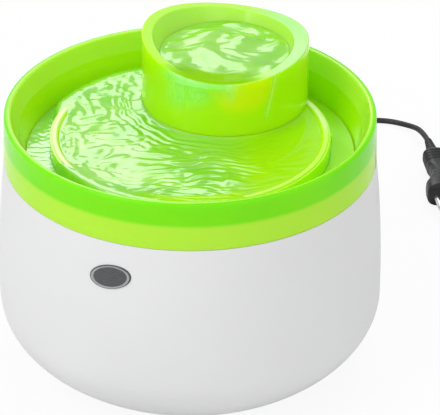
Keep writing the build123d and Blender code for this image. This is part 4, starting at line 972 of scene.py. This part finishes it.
def make_fall():
    """Film from the cup's water over the front lip and down the cup's outside to the basin."""
    columns, rows = 160, 40
    lip_rows = FILM_INNER_ROWS + len(LIP_PROFILE)
    points = []
    for i in range(lip_rows + rows):
        for j in range(columns):
            s = j / (columns - 1)
            down = max(0, i - lip_rows + 1) / rows
            right = FALL_RIGHT + FILM_EDGE - EDGE_LEAN * down
            angle = FALL_LEFT + (right - FALL_LEFT) * s
            fade = smoothstep(s, 0.0, 0.3) * (1 - smoothstep(s, 0.75, 1.0))
            film = (FILM_THICK_MM + FILM_WAVE_MM * wavy(angle * 16, down * 2.5, 1.0)) * fade
            rim = cup_edge(CUP_R_MM * math.cos(angle), CUP_R_MM * math.sin(angle))
            if i < FILM_INNER_ROWS:
                along = i / FILM_INNER_ROWS
                first_r = CUP_R_MM - LIP_PROFILE[0][0] + FILM_LIP_GAP_MM
                radius = first_r - FILM_REACH_MM * (1 - along)
                ex, ey = hollow_radius(angle, CUP_WATER_Z_MM)
                share = radius / math.hypot(ex, ey)
                z = cup_level(angle, radius * math.sin(angle), share) + FILM_OVER_MM
                z += (rim + LIP_PROFILE[0][1] - z) * smoothstep(along, 0.5, 1.0)
            elif i < lip_rows:
                inside, over = LIP_PROFILE[i - FILM_INNER_ROWS]
                radius = CUP_R_MM - inside * (1 if inside > 0 else fade) + FILM_LIP_GAP_MM
                z = rim + over * (fade if over > 0 else 1) + (film - 0.3) * 0.4
            else:
                foot = FILM_FOOT_MM * smoothstep(down, 0.8, 1.0) ** 2
                radius = CUP_R_MM + FILM_WALL_GAP_MM + film * 0.75 + foot
                z = rim + LIP_PROFILE[-1][1]
                z -= (rim + LIP_PROFILE[-1][1] - WATER_Z_MM + FILM_DIP_MM) * down
            points.append((CUP_X_MM + radius * math.cos(angle),
                           CUP_Y_MM + radius * math.sin(angle), z))
    faces = grid_faces(lip_rows + rows, columns)
    fall = mesh_piece("water_fall", points, faces, "cup", falling_water())
    fall.visible_shadow = False


make_basin_water()
make_spill("water_spill_back", 62.0, math.radians(96), math.radians(167), 5.5, (0.01, 0.2), 0.03)
make_spill("water_spill_front", 76.0, math.radians(191), math.radians(304), 0.8, (0.24, 0.15), -0.03)
make_gutter_water()
make_cup_water()
make_fall()


# ---- Floor, backdrop and light

FLOOR_HALF = 8.0
FLOOR_GLOW = 0.9                 # share of plain white in what the camera sees of the floor
WORLD_LIGHT = 0.6
BOX_AIM = (-0.25, 0, 0.16)       # both softboxes point here, left of the bowl


def floor_material():
    """Pale floor that the camera sees as white, with a soft shadow left in it."""
    m = Nodes("floor_white")
    m.set(Base_Color=(0.9, 0.9, 0.9, 1), Roughness=0.8)
    glow = m.node("Emission")
    glow.inputs["Strength"].default_value = 1.0
    path = m.node("LightPath")
    seen = m.times(path.outputs["Is Camera Ray"], FLOOR_GLOW)
    mixer = m.node("MixShader")
    m.link(seen, mixer.inputs[0])
    m.link(m.shader.outputs[0], mixer.inputs[1])
    m.link(glow.outputs[0], mixer.inputs[2])
    m.link(mixer.outputs[0], m.tree.nodes["Material Output"].inputs["Surface"])
    return m.material


def make_floor():
    """Wide square under the object; it belongs to the stage."""
    mesh = bpy.data.meshes.new("floor")
    corners = [(x * FLOOR_HALF, y * FLOOR_HALF, 0) for x, y in ((-1, -1), (1, -1), (1, 1), (-1, 1))]
    mesh.from_pydata(corners, [], [(0, 1, 2, 3)])
    mesh.materials.append(floor_material())
    floor = bpy.data.objects.new("floor", mesh)
    bpy.context.collection.objects.link(floor)


def make_world():
    """White surroundings: full strength to the camera and through clear plastic."""
    world = bpy.data.worlds.new("studio")
    world.use_nodes = True
    tree = world.node_tree
    plain = tree.nodes["Background"]
    plain.inputs["Color"].default_value = (1, 1, 1, 1)
    plain.inputs["Strength"].default_value = WORLD_LIGHT
    seen = tree.nodes.new("ShaderNodeBackground")
    seen.inputs["Color"].default_value = (1, 1, 1, 1)
    seen.inputs["Strength"].default_value = 1.0
    path = tree.nodes.new("ShaderNodeLightPath")
    either = tree.nodes.new("ShaderNodeMath")
    either.operation = "MAXIMUM"
    mixer = tree.nodes.new("ShaderNodeMixShader")
    tree.links.new(path.outputs["Is Camera Ray"], either.inputs[0])
    tree.links.new(path.outputs["Is Transmission Ray"], either.inputs[1])
    tree.links.new(either.outputs[0], mixer.inputs[0])
    tree.links.new(plain.outputs[0], mixer.inputs[1])
    tree.links.new(seen.outputs[0], mixer.inputs[2])
    tree.links.new(mixer.outputs[0], tree.nodes["World Output"].inputs["Surface"])
    bpy.context.scene.world = world


def area_light(name, place, aim, size, power, height=None, gloss_only=False, matt_only=False):
    """Soft light; gloss_only shows it in reflections alone, matt_only leaves it out of them."""
    data = bpy.data.lights.new(name, "AREA")
    data.size = size
    if height:
        data.shape = "RECTANGLE"
        data.size_y = height
    data.energy = power
    light = bpy.data.objects.new(name, data)
    light.location = place
    light.rotation_euler = (Vector(aim) - Vector(place)).to_track_quat("-Z", "Y").to_euler()
    light.visible_diffuse = not gloss_only
    light.visible_glossy = not matt_only
    bpy.context.collection.objects.link(light)


make_floor()
make_world()
area_light("key_left", (-1.5, -0.9, 1.7), (0, 0, 0.1), 1.4, 19)
area_light("top_back", (0.3, 1.3, 1.5), (0, 0, 0.15), 1.2, 12, matt_only=True)
area_light("fill_front", (0.6, -2.0, 1.0), (0, 0, 0.1), 1.6, 8)
area_light("back_softbox", (-0.3, 1.3, 0.98), BOX_AIM, 0.7, 3.3, height=0.7, gloss_only=True)
area_light("over_softbox", (-0.3, 0.86, 1.39), BOX_AIM, 0.7, 2.9, height=0.6, gloss_only=True)

bpy.context.scene.view_settings.view_transform = "Standard"
